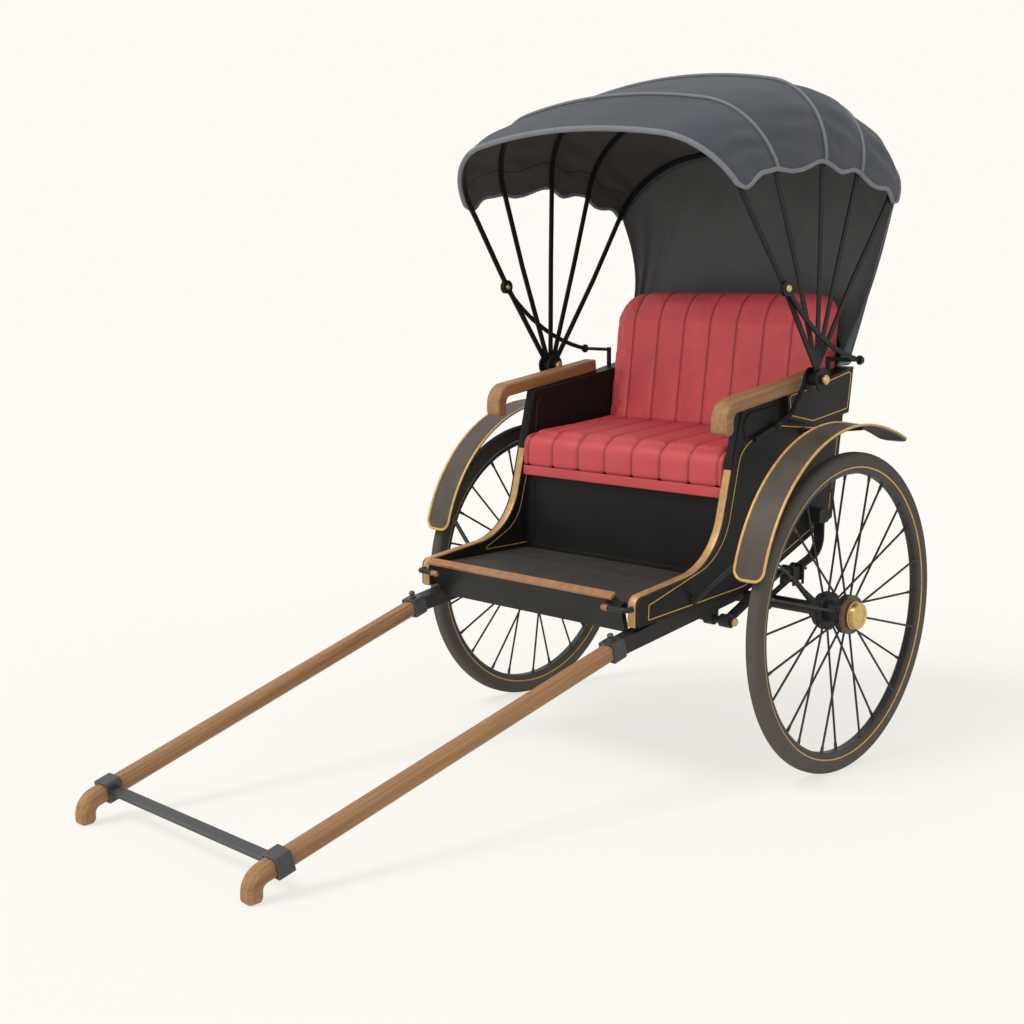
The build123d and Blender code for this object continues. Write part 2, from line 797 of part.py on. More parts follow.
# Columns: foot on the side panel, then the seat under the mudguard, as (x, y, z)
guard_stays = [
    ((top_x, side_y, quarter_bottom_z - 1.5 * guard_iron_diameter), (top_x, wheel_y, top_z)),
    (
        (sill_front_x - guard_iron_setback, side_y, (nose_z + sill_front_z) / 2),
        (front_x, guard_inner_y + guard_iron_diameter, front_z),
    ),
]
with BuildPart() as mudguard_irons:
    for foot, seat in guard_stays:
        neck = (foot[0], side_y + guard_iron_diameter / 2, foot[2])
        rod(foot, neck, 2 * guard_iron_diameter)
        rod(neck, seat, guard_iron_diameter)
    mirror(about=Plane.XZ)
keep(mudguard_irons.part, "mudguard_irons")

# Hood irons: stays from the side panels that carry the hood's pivot pins, discs and nuts
stack_inner = first_bow_y - bow_thickness / 2 - disc_gap
stack_outer = first_bow_y + (len(bows) - 1) * bow_pitch + bow_thickness / 2 + disc_gap
iron_y = stack_inner - disc_thickness - hood_iron_diameter / 2
foot_y = side_y + hood_iron_diameter / 2 + soft_gap
with BuildPart() as hood_iron:
    with BuildLine():
        FilletPolyline(
            (pivot_x, iron_y, pivot_z),
            (iron_knee_x, quarter_y + hood_iron_diameter + soft_gap, iron_knee_z),
            (iron_foot_x, foot_y, iron_foot_z),
            (iron_toe_x, foot_y, iron_toe_z),
            radius=hood_iron_diameter,
        )
    with BuildSketch(
        Plane(
            origin=(pivot_x, iron_y, pivot_z),
            z_dir=(
                iron_knee_x - pivot_x,
                quarter_y + hood_iron_diameter + soft_gap - iron_y,
                iron_knee_z - pivot_z,
            ),
        )
    ):
        Circle(hood_iron_diameter / 2)
    sweep()
    # Columns: start and end along y, diameter
    pivot_turnings = [
        (iron_y - hood_iron_diameter / 2, stack_outer + disc_thickness + nut_height, pin_diameter),
        (iron_y - hood_iron_diameter / 2, stack_inner - disc_thickness, 2 * hood_iron_diameter),
        (stack_inner - disc_thickness, stack_inner, disc_diameter),
        (stack_outer, stack_outer + disc_thickness, disc_diameter),
        (stack_outer + disc_thickness, stack_outer + disc_thickness + nut_height, nut_diameter),
    ]
    for start, end, diameter in pivot_turnings:
        rod((pivot_x, start, pivot_z), (pivot_x, end, pivot_z), diameter)
keep_pair(hood_iron.part, "hood_iron")

# Hood rests: posts on the quarter panels whose pegs hold the props and the folded hood
rest_slope = (tail_top_z - arm_bend_z) / (tail_top_x - arm_bend_x)
rest_foot_z = arm_bend_z + rest_slope * (peg_x - arm_bend_x) - rest_slope * peg_post_diameter / 2
rest_y = quarter_y - quarter_thickness / 2
prop_inner = stack_outer
prop_outer = prop_inner + prop_thickness
with BuildPart() as hood_rests:
    rod((peg_x, rest_y, rest_foot_z), (peg_x, rest_y, peg_z + peg_post_diameter / 2), peg_post_diameter)
    rod((peg_x, rest_y, peg_z), (peg_x, prop_outer + disc_gap, peg_z), peg_diameter)
    rod(
        (peg_x, prop_outer + disc_gap, peg_z),
        (peg_x, prop_outer + disc_gap + peg_diameter / 2, peg_z),
        peg_head_diameter,
    )
    mirror(about=Plane.XZ)
keep(hood_rests.part, "hood_rests")


def bow_plane(lean):
    """The plane of a hood bow: local x across the carriage, local y out from the pivot."""
    turn = radians(lean)
    return Plane(origin=pivot, x_dir=(0, 1, 0), z_dir=(cos(turn), 0, -sin(turn)))


# The arch of a bow: upright leg, round corner, then a flat crown arc to the middle
slope = radians(crown_slope)
crown_half = hood_half_width - bow_corner * (1 - sin(slope))
crown_radius = crown_half / sin(slope)


def leg_top(share):
    """Where a leg ends and its corner begins, for a bow with that share of the longest reach."""
    return share * bow_reach - bow_corner * cos(slope) - crown_half * tan(slope / 2)


# Hood bows: flat irons in nested planes at the pivot, cranked to one width under the cloth
for order, (name, lean, share) in enumerate(bows):
    leg_y = first_bow_y + (len(bows) - 1 - order) * bow_pitch
    out = Vector(sin(radians(lean)), 0, cos(radians(lean)))
    with BuildPart() as bow:
        with BuildSketch(bow_plane(lean)):
            with BuildLine():
                leg = Polyline(
                    (leg_y, 0),
                    (leg_y, bow_crank_start),
                    (hood_half_width, bow_crank_end),
                    (hood_half_width, leg_top(share)),
                )
                corner = JernArc(leg @ 1, (0, 1), bow_corner, 90 - crown_slope)
                JernArc(corner @ 1, corner % 1, crown_radius, crown_slope)
                mirror(about=Plane.YZ)
            trace(line_width=bow_thickness)
        extrude(amount=bow_width / 2, both=True)
        for side in (-1, 1):
            with Locations(Plane(origin=pivot + Vector(0, side * leg_y, 0), z_dir=(0, 1, 0))):
                Cylinder(bow_eye_diameter / 2, bow_thickness)
                Cylinder(pin_diameter / 2 + running_fit, 2 * bow_thickness, mode=Mode.SUBTRACT)
            if order == 0:
                stud = pivot + out * stud_radius + Vector(0, side * leg_y, 0)
                with Locations(Plane(origin=stud, z_dir=(0, 1, 0))):
                    Cylinder(stud_diameter / 2, bow_thickness)
    keep(bow.part, name)

# Canopy panels: cloth stretched from bow to bow, overhanging the first and the last
cloth_out = bow_thickness / 2 + canopy_gap + canopy_thickness / 2
for order, (front, rear) in enumerate(zip(bows, bows[1:])):
    front_edge = canopy_hem if order == 0 else -canopy_seam
    rear_edge = canopy_hem if order == len(bows) - 2 else -canopy_seam
    with BuildPart() as canopy:
        for (_, lean, share), edge in ((front, front_edge), (rear, -rear_edge)):
            with BuildSketch(bow_plane(lean + edge)):
                with BuildLine():
                    wall = Line(
                        (hood_half_width + cloth_out, canopy_eave),
                        (hood_half_width + cloth_out, leg_top(share)),
                    )
                    corner = JernArc(wall @ 1, (0, 1), bow_corner + cloth_out, 90 - crown_slope)
                    JernArc(corner @ 1, corner % 1, crown_radius + cloth_out, crown_slope)
                    mirror(about=Plane.YZ)
                trace(line_width=canopy_thickness)
        loft(ruled=True)
    keep(canopy.part, f"canopy_{order + 1}")

# Rear curtain: closes the hood from its last bow down to a wrap round the body's tail
foot_rise = radians(curtain_foot_slope)
foot_half = curtain_half_foot - curtain_corner * (1 - sin(foot_rise))
foot_wall = -curtain_corner * cos(foot_rise) - foot_half * tan(foot_rise / 2)
foot_z = tail_top_z + curtain_foot_lift
foot_middle = (tail_x(foot_z) - curtain_clear - canopy_thickness / 2, 0, foot_z)
# Columns: plane, half width, corner radius, slope at the corner's end, then the wall's two ends
curtain_edges = [
    (
        bow_plane(bows[-1][1] - canopy_hem - curtain_gap),
        hood_half_width + cloth_out,
        bow_corner + cloth_out,
        crown_slope,
        canopy_eave,
        leg_top(bows[-1][2]),
    ),
    (
        Plane(origin=foot_middle, x_dir=(0, 1, 0), z_dir=(0, 0, 1)),
        curtain_half_foot,
        curtain_corner,
        curtain_foot_slope,
        foot_wall - curtain_wrap,
        foot_wall,
    ),
]
with BuildPart() as rear_curtain:
    for plane, half, corner_radius, turn, wall_start, wall_end in curtain_edges:
        rise = sin(radians(turn))
        with BuildSketch(plane):
            with BuildLine():
                wall = Line((half, wall_start), (half, wall_end))
                corner = JernArc(wall @ 1, (0, 1), corner_radius, 90 - turn)
                JernArc(corner @ 1, corner % 1, (half - corner_radius * (1 - rise)) / rise, turn)
                mirror(about=Plane.YZ)
            trace(line_width=canopy_thickness)
    loft(ruled=True)
keep(rear_curtain.part, "rear_curtain")

# Hood props: curved irons from the rests to the studs on the front bow
front_turn = radians(bows[0][1])
stud_x = pivot_x + stud_radius * sin(front_turn)
stud_z = pivot_z + stud_radius * cos(front_turn)
prop_mid = ((stud_x + peg_x) / 2 + prop_sag / 2, (stud_z + peg_z) / 2 - prop_sag)
with BuildPart() as prop:
    with BuildSketch(side_plane(prop_outer)):
        with BuildLine():
            ThreePointArc((stud_x, stud_z), prop_mid, (peg_x, peg_z))
        trace(line_width=prop_width)
        with Locations((stud_x, stud_z)):
            Circle(stud_diameter / 2)
        with Locations((peg_x, peg_z)):
            Circle(prop_eye_diameter / 2)
            Circle(peg_diameter / 2 + running_fit, mode=Mode.SUBTRACT)
    extrude(amount=prop_thickness - disc_gap)
keep_pair(prop.part, "prop")
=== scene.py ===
from math import atan2, cos, hypot, pi, radians, sin, tan

import bmesh
import bpy
import numpy as np
from mathutils import Matrix


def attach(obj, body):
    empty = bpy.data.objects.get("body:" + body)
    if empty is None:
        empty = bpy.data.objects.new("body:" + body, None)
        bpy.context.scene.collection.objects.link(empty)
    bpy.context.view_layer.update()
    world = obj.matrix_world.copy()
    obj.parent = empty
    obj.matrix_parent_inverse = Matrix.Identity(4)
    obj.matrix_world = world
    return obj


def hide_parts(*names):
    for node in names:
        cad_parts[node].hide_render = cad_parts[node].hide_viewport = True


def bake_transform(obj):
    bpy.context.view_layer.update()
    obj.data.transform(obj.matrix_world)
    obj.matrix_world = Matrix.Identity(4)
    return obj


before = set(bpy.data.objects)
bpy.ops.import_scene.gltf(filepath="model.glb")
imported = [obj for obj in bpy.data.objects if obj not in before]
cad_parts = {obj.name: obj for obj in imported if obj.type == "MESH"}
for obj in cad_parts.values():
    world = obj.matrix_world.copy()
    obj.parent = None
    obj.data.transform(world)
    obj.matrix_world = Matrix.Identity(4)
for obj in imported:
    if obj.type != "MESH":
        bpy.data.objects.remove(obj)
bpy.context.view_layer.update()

# Studio: a cream floor that runs on to the horizon under an even sky, with a soft key light from the
# upper left front, a weak fill and a camera at the picture's own place. None of it belongs to the cart.
axle_x, axle_height, park_tilt = -0.763532, 0.5, radians(3.1119279975)
cream = (0.991, 0.965, 0.913, 1)
floor_reach = 90.0
sky_level, floor_glow = 0.56, 0.72
# Columns: name, strength, softness in degrees, direction it comes from
lamps = [("key_light", 1.65, 24, (0.62, -0.18, 0.80)), ("fill_light", 0.46, 70, (0.80, 0.52, 0.30))]
eye = (3.9265, 3.0008, 1.0205)
eye_right = (-0.6914, 0.72247, 0)
eye_up = (-0.11272, -0.10787, 0.98775)
eye_back = (0.71362, 0.68293, 0.15602)
eye_lens, lamp_far = 51.93, 6


def parked(points):
    """The road frame's points for level ones: turned about the axle by the parking tilt, then set
    down at the axle's place. Level points are in metres from the middle of the axle."""
    x, y, z = np.moveaxis(np.asarray(points, float), -1, 0)
    return np.stack(
        [
            axle_x + x * cos(park_tilt) + z * sin(park_tilt),
            y,
            axle_height - x * sin(park_tilt) + z * cos(park_tilt),
        ],
        -1,
    )


def add(tree, kind, inputs=None, **settings):
    """Puts a node of that kind into a tree, sets it up, then sets or links its inputs."""
    node = tree.nodes.new(kind)
    for name, value in settings.items():
        setattr(node, name, value)
    for name, value in (inputs or {}).items():
        if isinstance(value, bpy.types.NodeSocket):
            tree.links.new(value, node.inputs[name])
        else:
            node.inputs[name].default_value = value
    return node


def number(tree, operation, first, second=0.0, third=0.0, clamp=False):
    """The result of one sum on numbers or sockets, kept from nought to one where clamp is set."""
    inputs = {0: first, 1: second, 2: third}
    return add(tree, "ShaderNodeMath", inputs, operation=operation, use_clamp=clamp).outputs[0]


def blank(name):
    """A new material and its emptied tree."""
    material = bpy.data.materials.new(name)
    material.use_nodes = True
    material.node_tree.nodes.clear()
    return material, material.node_tree


def seen_directly(tree):
    """One where a ray comes from the camera, a reflection or a clear body, and nought elsewhere."""
    path = add(tree, "ShaderNodeLightPath").outputs
    either = number(tree, "MAXIMUM", path["Is Camera Ray"], path["Is Glossy Ray"])
    return number(tree, "MAXIMUM", either, path["Is Transmission Ray"])


def unit(ways):
    """Directions with their lengths made one."""
    ways = np.asarray(ways, float)
    return ways / np.linalg.norm(ways, axis=-1, keepdims=True)


def stand_in_scene(name, data):
    """An object of that data, put into the scene."""
    thing = bpy.data.objects.new(name, data)
    bpy.context.scene.collection.objects.link(thing)
    return thing


scene = bpy.context.scene
scene.view_settings.view_transform = "Standard"
world = bpy.data.worlds.new("sky")
scene.world = world
world.use_nodes = True
sky = world.node_tree
sky.nodes.clear()
even = add(sky, "ShaderNodeBackground", {"Color": (1, 1, 1, 1), "Strength": sky_level}).outputs[0]
backdrop = add(sky, "ShaderNodeBackground", {"Color": cream, "Strength": 1.0}).outputs[0]
sky_mix = add(sky, "ShaderNodeMixShader", {0: seen_directly(sky), 1: even, 2: backdrop})
add(sky, "ShaderNodeOutputWorld", {0: sky_mix.outputs[0]})

paper, tree = blank("cream_floor")
matt = add(tree, "ShaderNodeBsdfDiffuse", {"Color": cream})
glow = add(tree, "ShaderNodeEmission", {"Color": cream, "Strength": 1.0})
share = number(tree, "MULTIPLY", seen_directly(tree), floor_glow)
both = add(tree, "ShaderNodeMixShader", {0: share, 1: matt.outputs[0], 2: glow.outputs[0]})
add(tree, "ShaderNodeOutputMaterial", {0: both.outputs[0]})
floor_mesh = bpy.data.meshes.new("studio_floor")
floor_corners = floor_reach * np.array([(-1, -1, 0), (1, -1, 0), (1, 1, 0), (-1, 1, 0)])
floor_mesh.from_pydata(floor_corners.tolist(), [], [(0, 1, 2, 3)])
floor_mesh.materials.append(paper)
studio_floor = stand_in_scene("studio_floor", floor_mesh)

for name, strength, softness, from_where in lamps:
    lamp = stand_in_scene(name, bpy.data.lights.new(name, "SUN"))
    lamp.data.energy = strength
    lamp.data.angle = radians(softness)
    lamp_back = unit(from_where)
    lamp_side = unit(np.cross((0, 0, 1.0), lamp_back))
    lamp_up = np.cross(lamp_back, lamp_side)
    lamp_axes = np.column_stack([lamp_side, lamp_up, lamp_back, lamp_back * lamp_far])
    lamp.matrix_world = Matrix(np.vstack([lamp_axes, (0, 0, 0, 1)]).tolist())

camera = stand_in_scene("camera", bpy.data.cameras.new("camera"))
camera.data.lens = eye_lens
camera.data.sensor_width = 36
camera.data.clip_end = 3 * floor_reach
eye_place = parked(eye)
eye_axes = [parked(axis) - parked((0, 0, 0)) for axis in (eye_right, eye_up, eye_back)]
camera.matrix_world = Matrix(np.vstack([np.column_stack(eye_axes + [eye_place]), (0, 0, 0, 1)]).tolist())
scene.camera = camera


# Wheels: solid rubber tyres on painted rims, with wire spokes drawn up by nipples, turned hubs and
# brass caps. The rims carry a gilt line on both faces, and the caps' faces are left plain.
wheel_plane_y = 0.658
spoke_count, spoke_root_r, spoke_tip_r = 24, 0.0465, 0.4333
spoke_rows = np.array([(-0.055, -0.009), (0.015, 0.009)])
gilt_line_r, gilt_line_out, gilt_line_thick = 0.4555, 0.0180, 0.0031
nipple_long, plate_out, flanges_out = 0.0206, 0.0348, (-0.064, -0.046, 0.006)
hands = (("left", 1), ("right", -1))


def effect(name, inputs, outputs):
    """An empty shader group with those inputs and outputs. An input's value says its kind: four
    numbers are a colour and three a vector. Of the outputs, Colour is a colour."""
    kinds = {4: "NodeSocketColor", 3: "NodeSocketVector", 1: "NodeSocketFloat"}
    tree = bpy.data.node_groups.new(name, "ShaderNodeTree")
    for label, value in inputs.items():
        kind = kinds[np.size(value)]
        tree.interface.new_socket(label, in_out="INPUT", socket_type=kind).default_value = value
    for label in outputs:
        kind = kinds[4 if label == "Colour" else 1]
        tree.interface.new_socket(label, in_out="OUTPUT", socket_type=kind)
    return tree, add(tree, "NodeGroupInput").outputs, add(tree, "NodeGroupOutput").inputs


def deliver(tree, result, **values):
    """Links values to a group's outputs."""
    for label, value in values.items():
        tree.links.new(value, result[label])


def use(tree, group, **inputs):
    """The outputs of a group that is put into a tree with those inputs."""
    return add(tree, "ShaderNodeGroup", inputs, node_tree=group).outputs


def blended(tree, amount, first, second):
    """A colour that goes from first to second as amount goes from nought to one."""
    node = add(tree, "ShaderNodeMix", {0: amount, 6: first, 7: second}, data_type="RGBA")
    return node.outputs[2]


def scaled(tree, value, amount):
    """A colour or place with its three parts times amount."""
    return add(tree, "ShaderNodeVectorMath", {0: value, "Scale": amount}, operation="SCALE").outputs[0]


def noise(tree, place, scale, detail=3.0, rough=0.5, twist=0.0):
    """A cloudy value about one half at each place."""
    inputs = {"Vector": place, "Scale": scale, "Detail": detail, "Roughness": rough, "Distortion": twist}
    return add(tree, "ShaderNodeTexNoise", inputs).outputs[0]


# The cloudy tone of brushed paint and cast metal, with a fine grit
plain_paint = {"Colour": (0.1, 0.1, 0.1, 1), "Roughness": 0.5, "Size": 14.0, "Spread": 0.2, "Grit": 0.3}
mottle, given, result = effect("mottle", plain_paint, ("Colour", "Roughness", "Height"))
place = add(mottle, "ShaderNodeTexCoord").outputs["Object"]
cloud = noise(mottle, place, given["Size"], 5.0, 0.62)
swing = number(mottle, "SUBTRACT", cloud, 0.5)
tone = number(mottle, "MULTIPLY_ADD", swing, number(mottle, "MULTIPLY", given["Spread"], 4.0), 1.0)
grit = number(mottle, "MULTIPLY", noise(mottle, place, 620.0, 2.0), given["Grit"])
gloss = number(mottle, "MULTIPLY_ADD", swing, 0.45, given["Roughness"])
deliver(mottle, result, Colour=scaled(mottle, given["Colour"], tone), Roughness=gloss, Height=grit)

# Wear where edges are rubbed bare: how far the surface turns within a small reach, broken up
edge_wear, given, result = effect("edge_wear", {"Reach": 0.002, "Amount": 1.0}, ("Mask",))
soft_turn = add(edge_wear, "ShaderNodeBevel", {"Radius": given["Reach"]}, samples=4).outputs[0]
true_turn = add(edge_wear, "ShaderNodeNewGeometry").outputs["Normal"]
both_turns = {0: soft_turn, 1: true_turn}
agree = add(edge_wear, "ShaderNodeVectorMath", both_turns, operation="DOT_PRODUCT").outputs["Value"]
rubbed = number(edge_wear, "MULTIPLY", number(edge_wear, "SUBTRACT", 1.0, agree), 5.0)
patch = noise(edge_wear, add(edge_wear, "ShaderNodeTexCoord").outputs["Object"], 46.0, 4.0, 0.7)
broken = number(edge_wear, "MULTIPLY_ADD", patch, 3.2, -1.15)
worn = number(edge_wear, "MULTIPLY", rubbed, broken)
worn = number(edge_wear, "MULTIPLY", worn, given["Amount"], clamp=True)
deliver(edge_wear, result, Mask=worn)

# Dust: a pale film in patches that gathers towards the road
road_dust, given, result = effect("road_dust", {"Reach": 0.5, "Amount": 0.3}, ("Mask",))
place = add(road_dust, "ShaderNodeTexCoord").outputs["Object"]
height = add(road_dust, "ShaderNodeSeparateXYZ", {0: place}).outputs["Z"]
share_up = number(road_dust, "DIVIDE", height, given["Reach"])
low = number(road_dust, "SUBTRACT", 1.0, share_up, clamp=True)
film = number(road_dust, "MULTIPLY", noise(road_dust, place, 22.0, 6.0, 0.68), given["Amount"])
deliver(road_dust, result, Mask=number(road_dust, "MULTIPLY", film, low))


def surface(tree, shade, ground, strength, lift, plain):
    """Ends a tree in its shader: the shade, the ground's roughness, the ground's height as a bump of
    that strength and lift, and plain values on the shader's own sockets."""
    relief = {"Height": ground["Height"], "Strength": strength, "Distance": lift}
    bump = add(tree, "ShaderNodeBump", relief).outputs[0]
    inputs = {"Base Color": shade, "Roughness": ground["Roughness"], "Normal": bump, **plain}
    shader = add(tree, "ShaderNodeBsdfPrincipled", inputs)
    add(tree, "ShaderNodeOutputMaterial", {0: shader.outputs[0]})


def finish(
    name, colour, roughness, metallic=0.0, specular=0.4, size=14.0, spread=0.16, grit=0.3, lift=0.0004,
    worn_to=None, wear=1.0, dust=0.0,
):
    """A paint, rubber or metal: cloudy tone and gloss, fine grit, rubbed edges and road dust."""
    material, tree = blank(name)
    look = {"Roughness": roughness, "Size": size, "Spread": spread, "Grit": grit}
    ground = use(tree, mottle, Colour=(*colour, 1), **look)
    shade = ground["Colour"]
    if worn_to:
        mask = use(tree, edge_wear, Reach=0.0025, Amount=wear)[0]
        shade = blended(tree, mask, shade, (*worn_to, 1))
    if dust:
        mask = use(tree, road_dust, Reach=0.75, Amount=dust)[0]
        shade = blended(tree, mask, shade, (0.30, 0.26, 0.21, 1))
    surface(tree, shade, ground, 0.5, lift, {"Metallic": metallic, "Specular IOR Level": specular})
    return material


def coat(material, *nodes):
    """Gives CAD nodes that finish in each material slot they have."""
    for node in nodes:
        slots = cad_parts[node].data.materials
        if not slots:
            slots.append(material)
        for at in range(len(slots)):
            slots[at] = material


def squares(index):
    """The corners of the quad between each four neighbours in a grid of point numbers."""
    corners = [index[:-1, :-1], index[:-1, 1:], index[1:, 1:], index[1:, :-1]]
    return np.stack(corners, -1).reshape(-1, 4)


def meshed(name, points, faces, sharp):
    """A smooth mesh of level points, creased where it turns by more than the sharp angle."""
    mesh = bpy.data.meshes.new(name)
    mesh.from_pydata(parked(points).tolist(), [], faces)
    mesh.polygons.foreach_set("use_smooth", np.ones(len(faces), bool))
    mesh.set_sharp_from_angle(angle=radians(sharp))
    return mesh


def skin(name, grids, around=True, along=False, caps=True, sharp=38):
    """A mesh over grids of points: a quad between each four neighbours, closed round the second
    index where around is true and round the first where along is true, with end caps, and turned
    inside out where its signed volume comes out negative."""
    grids = np.asarray(grids, float)
    grids = grids.reshape((-1,) + grids.shape[-3:])
    count, rows, columns = grids.shape[:3]
    index = np.arange(rows * columns).reshape(rows, columns)
    ends = [index[0, ::-1], index[-1]]
    if around:
        index = np.hstack([index, index[:, :1]])
    if along:
        index = np.vstack([index, index[:1]])
    quads = squares(index)
    flat = grids.reshape(count, -1, 3)
    a, b, c, d = (flat[0, quads[:, corner]] for corner in range(4))
    middle = flat[0].mean(0)
    volume = ((np.cross(b - a, c - a) + np.cross(c - a, d - a)) * (a - middle)).sum()
    if volume < 0:
        quads, ends = quads[:, ::-1], [end[::-1] for end in ends]
    shifts = np.arange(count) * rows * columns
    faces = (quads[None] + shifts[:, None, None]).reshape(-1, 4).tolist()
    if caps and not along:
        faces += [(end + shift).tolist() for shift in shifts for end in ends]
    return meshed(name, flat.reshape(-1, 3), faces, sharp)


def piece(name, grids, material, slot, body="carriage", **shape):
    """A finished piece over level grids of points, riding on its body unless that is None."""
    mesh = skin(name, grids, **shape)
    mesh.materials.append(material)
    thing = stand_in_scene(name, mesh)
    if body:
        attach(thing, body)
    return thing


def turned(centre, axis, outline, segments=48):
    """Turned shapes, one for each centre: a point goes along the axis by the outline's first number
    and out from it by the second, at every angle round the axis."""
    centre, axis = np.broadcast_arrays(np.asarray(centre, float), np.asarray(axis, float))
    axis = unit(axis)
    aid = np.where(abs(axis[..., 2:]) < 0.9, (0, 0, 1.0), (1.0, 0, 0))
    first = unit(np.cross(axis, aid))
    second = np.cross(axis, first)
    run, out = np.asarray(outline, float).T[:, :, None, None]
    turn = np.linspace(0, 2 * pi, segments, endpoint=False)[:, None]
    ring = np.cos(turn) * first[..., None, :] + np.sin(turn) * second[..., None, :]
    return centre[..., None, None, :] + run * axis[..., None, None, :] + out * ring[..., None, :, :]


def hoop(thick, radius):
    """A round outline, that thick from its middle, at a radius from the axis."""
    turn = np.linspace(0, 2 * pi, 12, endpoint=False)
    return np.column_stack([thick * np.cos(turn), radius + thick * np.sin(turn)])


rubber = finish(
    "tyre_rubber", (0.075, 0.064, 0.056), 0.78, specular=0.25, size=30, spread=0.12, grit=0.7,
    worn_to=(0.13, 0.115, 0.10), wear=0.5, dust=0.25,
)
rim_paint = finish(
    "rim_paint", (0.040, 0.037, 0.034), 0.50, specular=0.35, worn_to=(0.16, 0.13, 0.10), wear=0.6
)
black_iron = finish(
    "black_iron", (0.018, 0.018, 0.019), 0.50, specular=0.24, size=40, grit=0.8, lift=0.0006,
    worn_to=(0.11, 0.10, 0.09), wear=0.8, dust=0.12,
)
gilt = finish("gilt_line", (0.60, 0.36, 0.105), 0.40, metallic=0.25, size=60, spread=0.22)
hub_bronze = finish(
    "hub_bronze", (0.115, 0.084, 0.055), 0.46, metallic=0.6, size=50, worn_to=(0.42, 0.30, 0.16)
)
brass = finish(
    "brass", (0.62, 0.42, 0.16), 0.34, metallic=0.75, size=70, spread=0.15,
    worn_to=(0.86, 0.66, 0.34), wear=0.7,
)
line_ring = hoop(gilt_line_thick, gilt_line_r)
flange_bead, plate_bead = hoop(0.0035, 0.0570), hoop(0.0026, 0.0560)
nipple_outline = [(0.0, 0.0036), (0.002, 0.0046), (0.014, 0.0052), (0.020, 0.0056), (0.0205, 0.0040)]
cap_outline = [
    (0.0352, 0.0300), (0.0352, 0.0420), (0.0370, 0.0435), (0.0410, 0.0435), (0.0425, 0.0415),
    (0.0550, 0.0415), (0.0595, 0.0402), (0.0618, 0.0370), (0.0620, 0.0335), (0.0598, 0.0318),
    (0.0586, 0.0305), (0.0586, 0.0200), (0.0592, 0.0188), (0.0610, 0.0180), (0.0616, 0.0150),
    (0.0617, 0.0004),
]
for hand, side in hands:
    body = "wheel_" + hand
    coat(rubber, "tyre_" + hand)
    coat(rim_paint, "rim_" + hand)
    coat(black_iron, "spoked_hub_" + hand)
    coat(hub_bronze, "hub_plate_" + hand)
    middle, out = np.array((0, side * wheel_plane_y, 0)), np.array((0, side, 0))
    faces_of_rim = middle + np.outer((gilt_line_out, -gilt_line_out), out)
    spoke_turn = np.arange(spoke_count) * 2 * pi / spoke_count
    rows = spoke_rows[np.arange(spoke_count) % 2]
    ray = np.column_stack([np.cos(spoke_turn), 0 * spoke_turn, np.sin(spoke_turn)])
    roots = middle + ray * spoke_root_r + rows[:, :1] * out
    tips = middle + ray * spoke_tip_r + rows[:, 1:] * out
    pull = unit(tips - roots)
    nipples = turned(tips - nipple_long * pull, pull, nipple_outline, 10)
    flange_faces = middle + np.outer(flanges_out, out)
    for name, shapes, material, slot, closed in (
        ("gilt_line_", turned(faces_of_rim, out, line_ring, 160), gilt, "rim_paint", True),
        ("spoke_nipples_", nipples, rim_paint, "rim_paint", False),
        ("flange_beads_", turned(flange_faces, out, flange_bead, 64), black_iron, "black_iron", True),
        ("plate_bead_", turned(middle + plate_out * out, out, plate_bead, 64), hub_bronze, "brass", True),
    ):
        piece(name + hand, shapes, material, slot, body, along=closed)
    cap = piece("turned_cap_" + hand, turned(middle, out, cap_outline, 72), brass, "brass", body)
    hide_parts("hub_cap_" + hand)


# Running gear: a forged axle, leaf springs clamped to their saddles by U-bolts, hangers, brackets
# and stays, all in black painted iron. Brass bolts close the hanger rod's ends.
spring_mid_y, spring_half, leaf_top_z = 0.470, 0.018, 0.121
clip_wire, clip_legs_x, clip_foot_z, clip_bend, clip_gap = 0.0045, (-0.026, 0.026), 0.066, 0.009, 0.0004
rod_end_y, rod_x, rod_z = 0.499, 0.350, 0.005


def rounded(corners, radii, step=radians(9)):
    """A path through corner points: straight between them, with each inner corner replaced by a
    circular arc of its radius, which meets both runs where they touch it."""
    corners = [np.asarray(corner, float) for corner in corners]
    if np.isscalar(radii):
        radii = [radii] * (len(corners) - 2)
    path = [corners[0][None]]
    for before, corner, after, radius in zip(corners, corners[1:], corners[2:], radii):
        come, leave = unit(corner - before), unit(after - corner)
        bend = np.arccos(np.clip(come @ leave, -1, 1))
        inward = unit(leave - (leave @ come) * come)
        start = corner - come * radius * tan(bend / 2)
        turn = np.linspace(0, bend, max(3, int(bend / step) + 2))[:, None]
        path.append(start + radius * (np.sin(turn) * come + (1 - np.cos(turn)) * inward))
    return np.concatenate(path + [corners[-1][None]])


def carried(path, profile, up, closed=False):
    """A profile carried along a path: its first number goes across, square to the path and to the
    up direction, and its second goes up. Up is one direction, or one for each point."""
    path, up = np.asarray(path, float), np.broadcast_to(np.asarray(up, float), np.shape(path))
    if closed:
        along = np.roll(path, -1, 0) - np.roll(path, 1, 0)
    else:
        along = np.gradient(path, axis=0)
    across = unit(np.cross(along, up))
    profile = np.asarray(profile, float)
    return path[:, None] + profile[:, :1] * across[:, None] + profile[:, 1:] * up[:, None]


def pair(x, y, z):
    """A point on the left and its twin on the right."""
    return np.array([(x, y, z), (x, -y, z)], float)


def oval(width, height, power=1.0, points=12, base=0.0):
    """A closed profile: a circle's points, with sine and cosine raised to a power below one for a
    squarer shape, stretched to the width and height and lifted by base."""
    turn = np.linspace(0, 2 * pi, points, endpoint=False)
    squared = [np.sign(f) * abs(f) ** power for f in (np.cos(turn), np.sin(turn))]
    return np.column_stack([squared[0] * width / 2, base + squared[1] * height / 2])


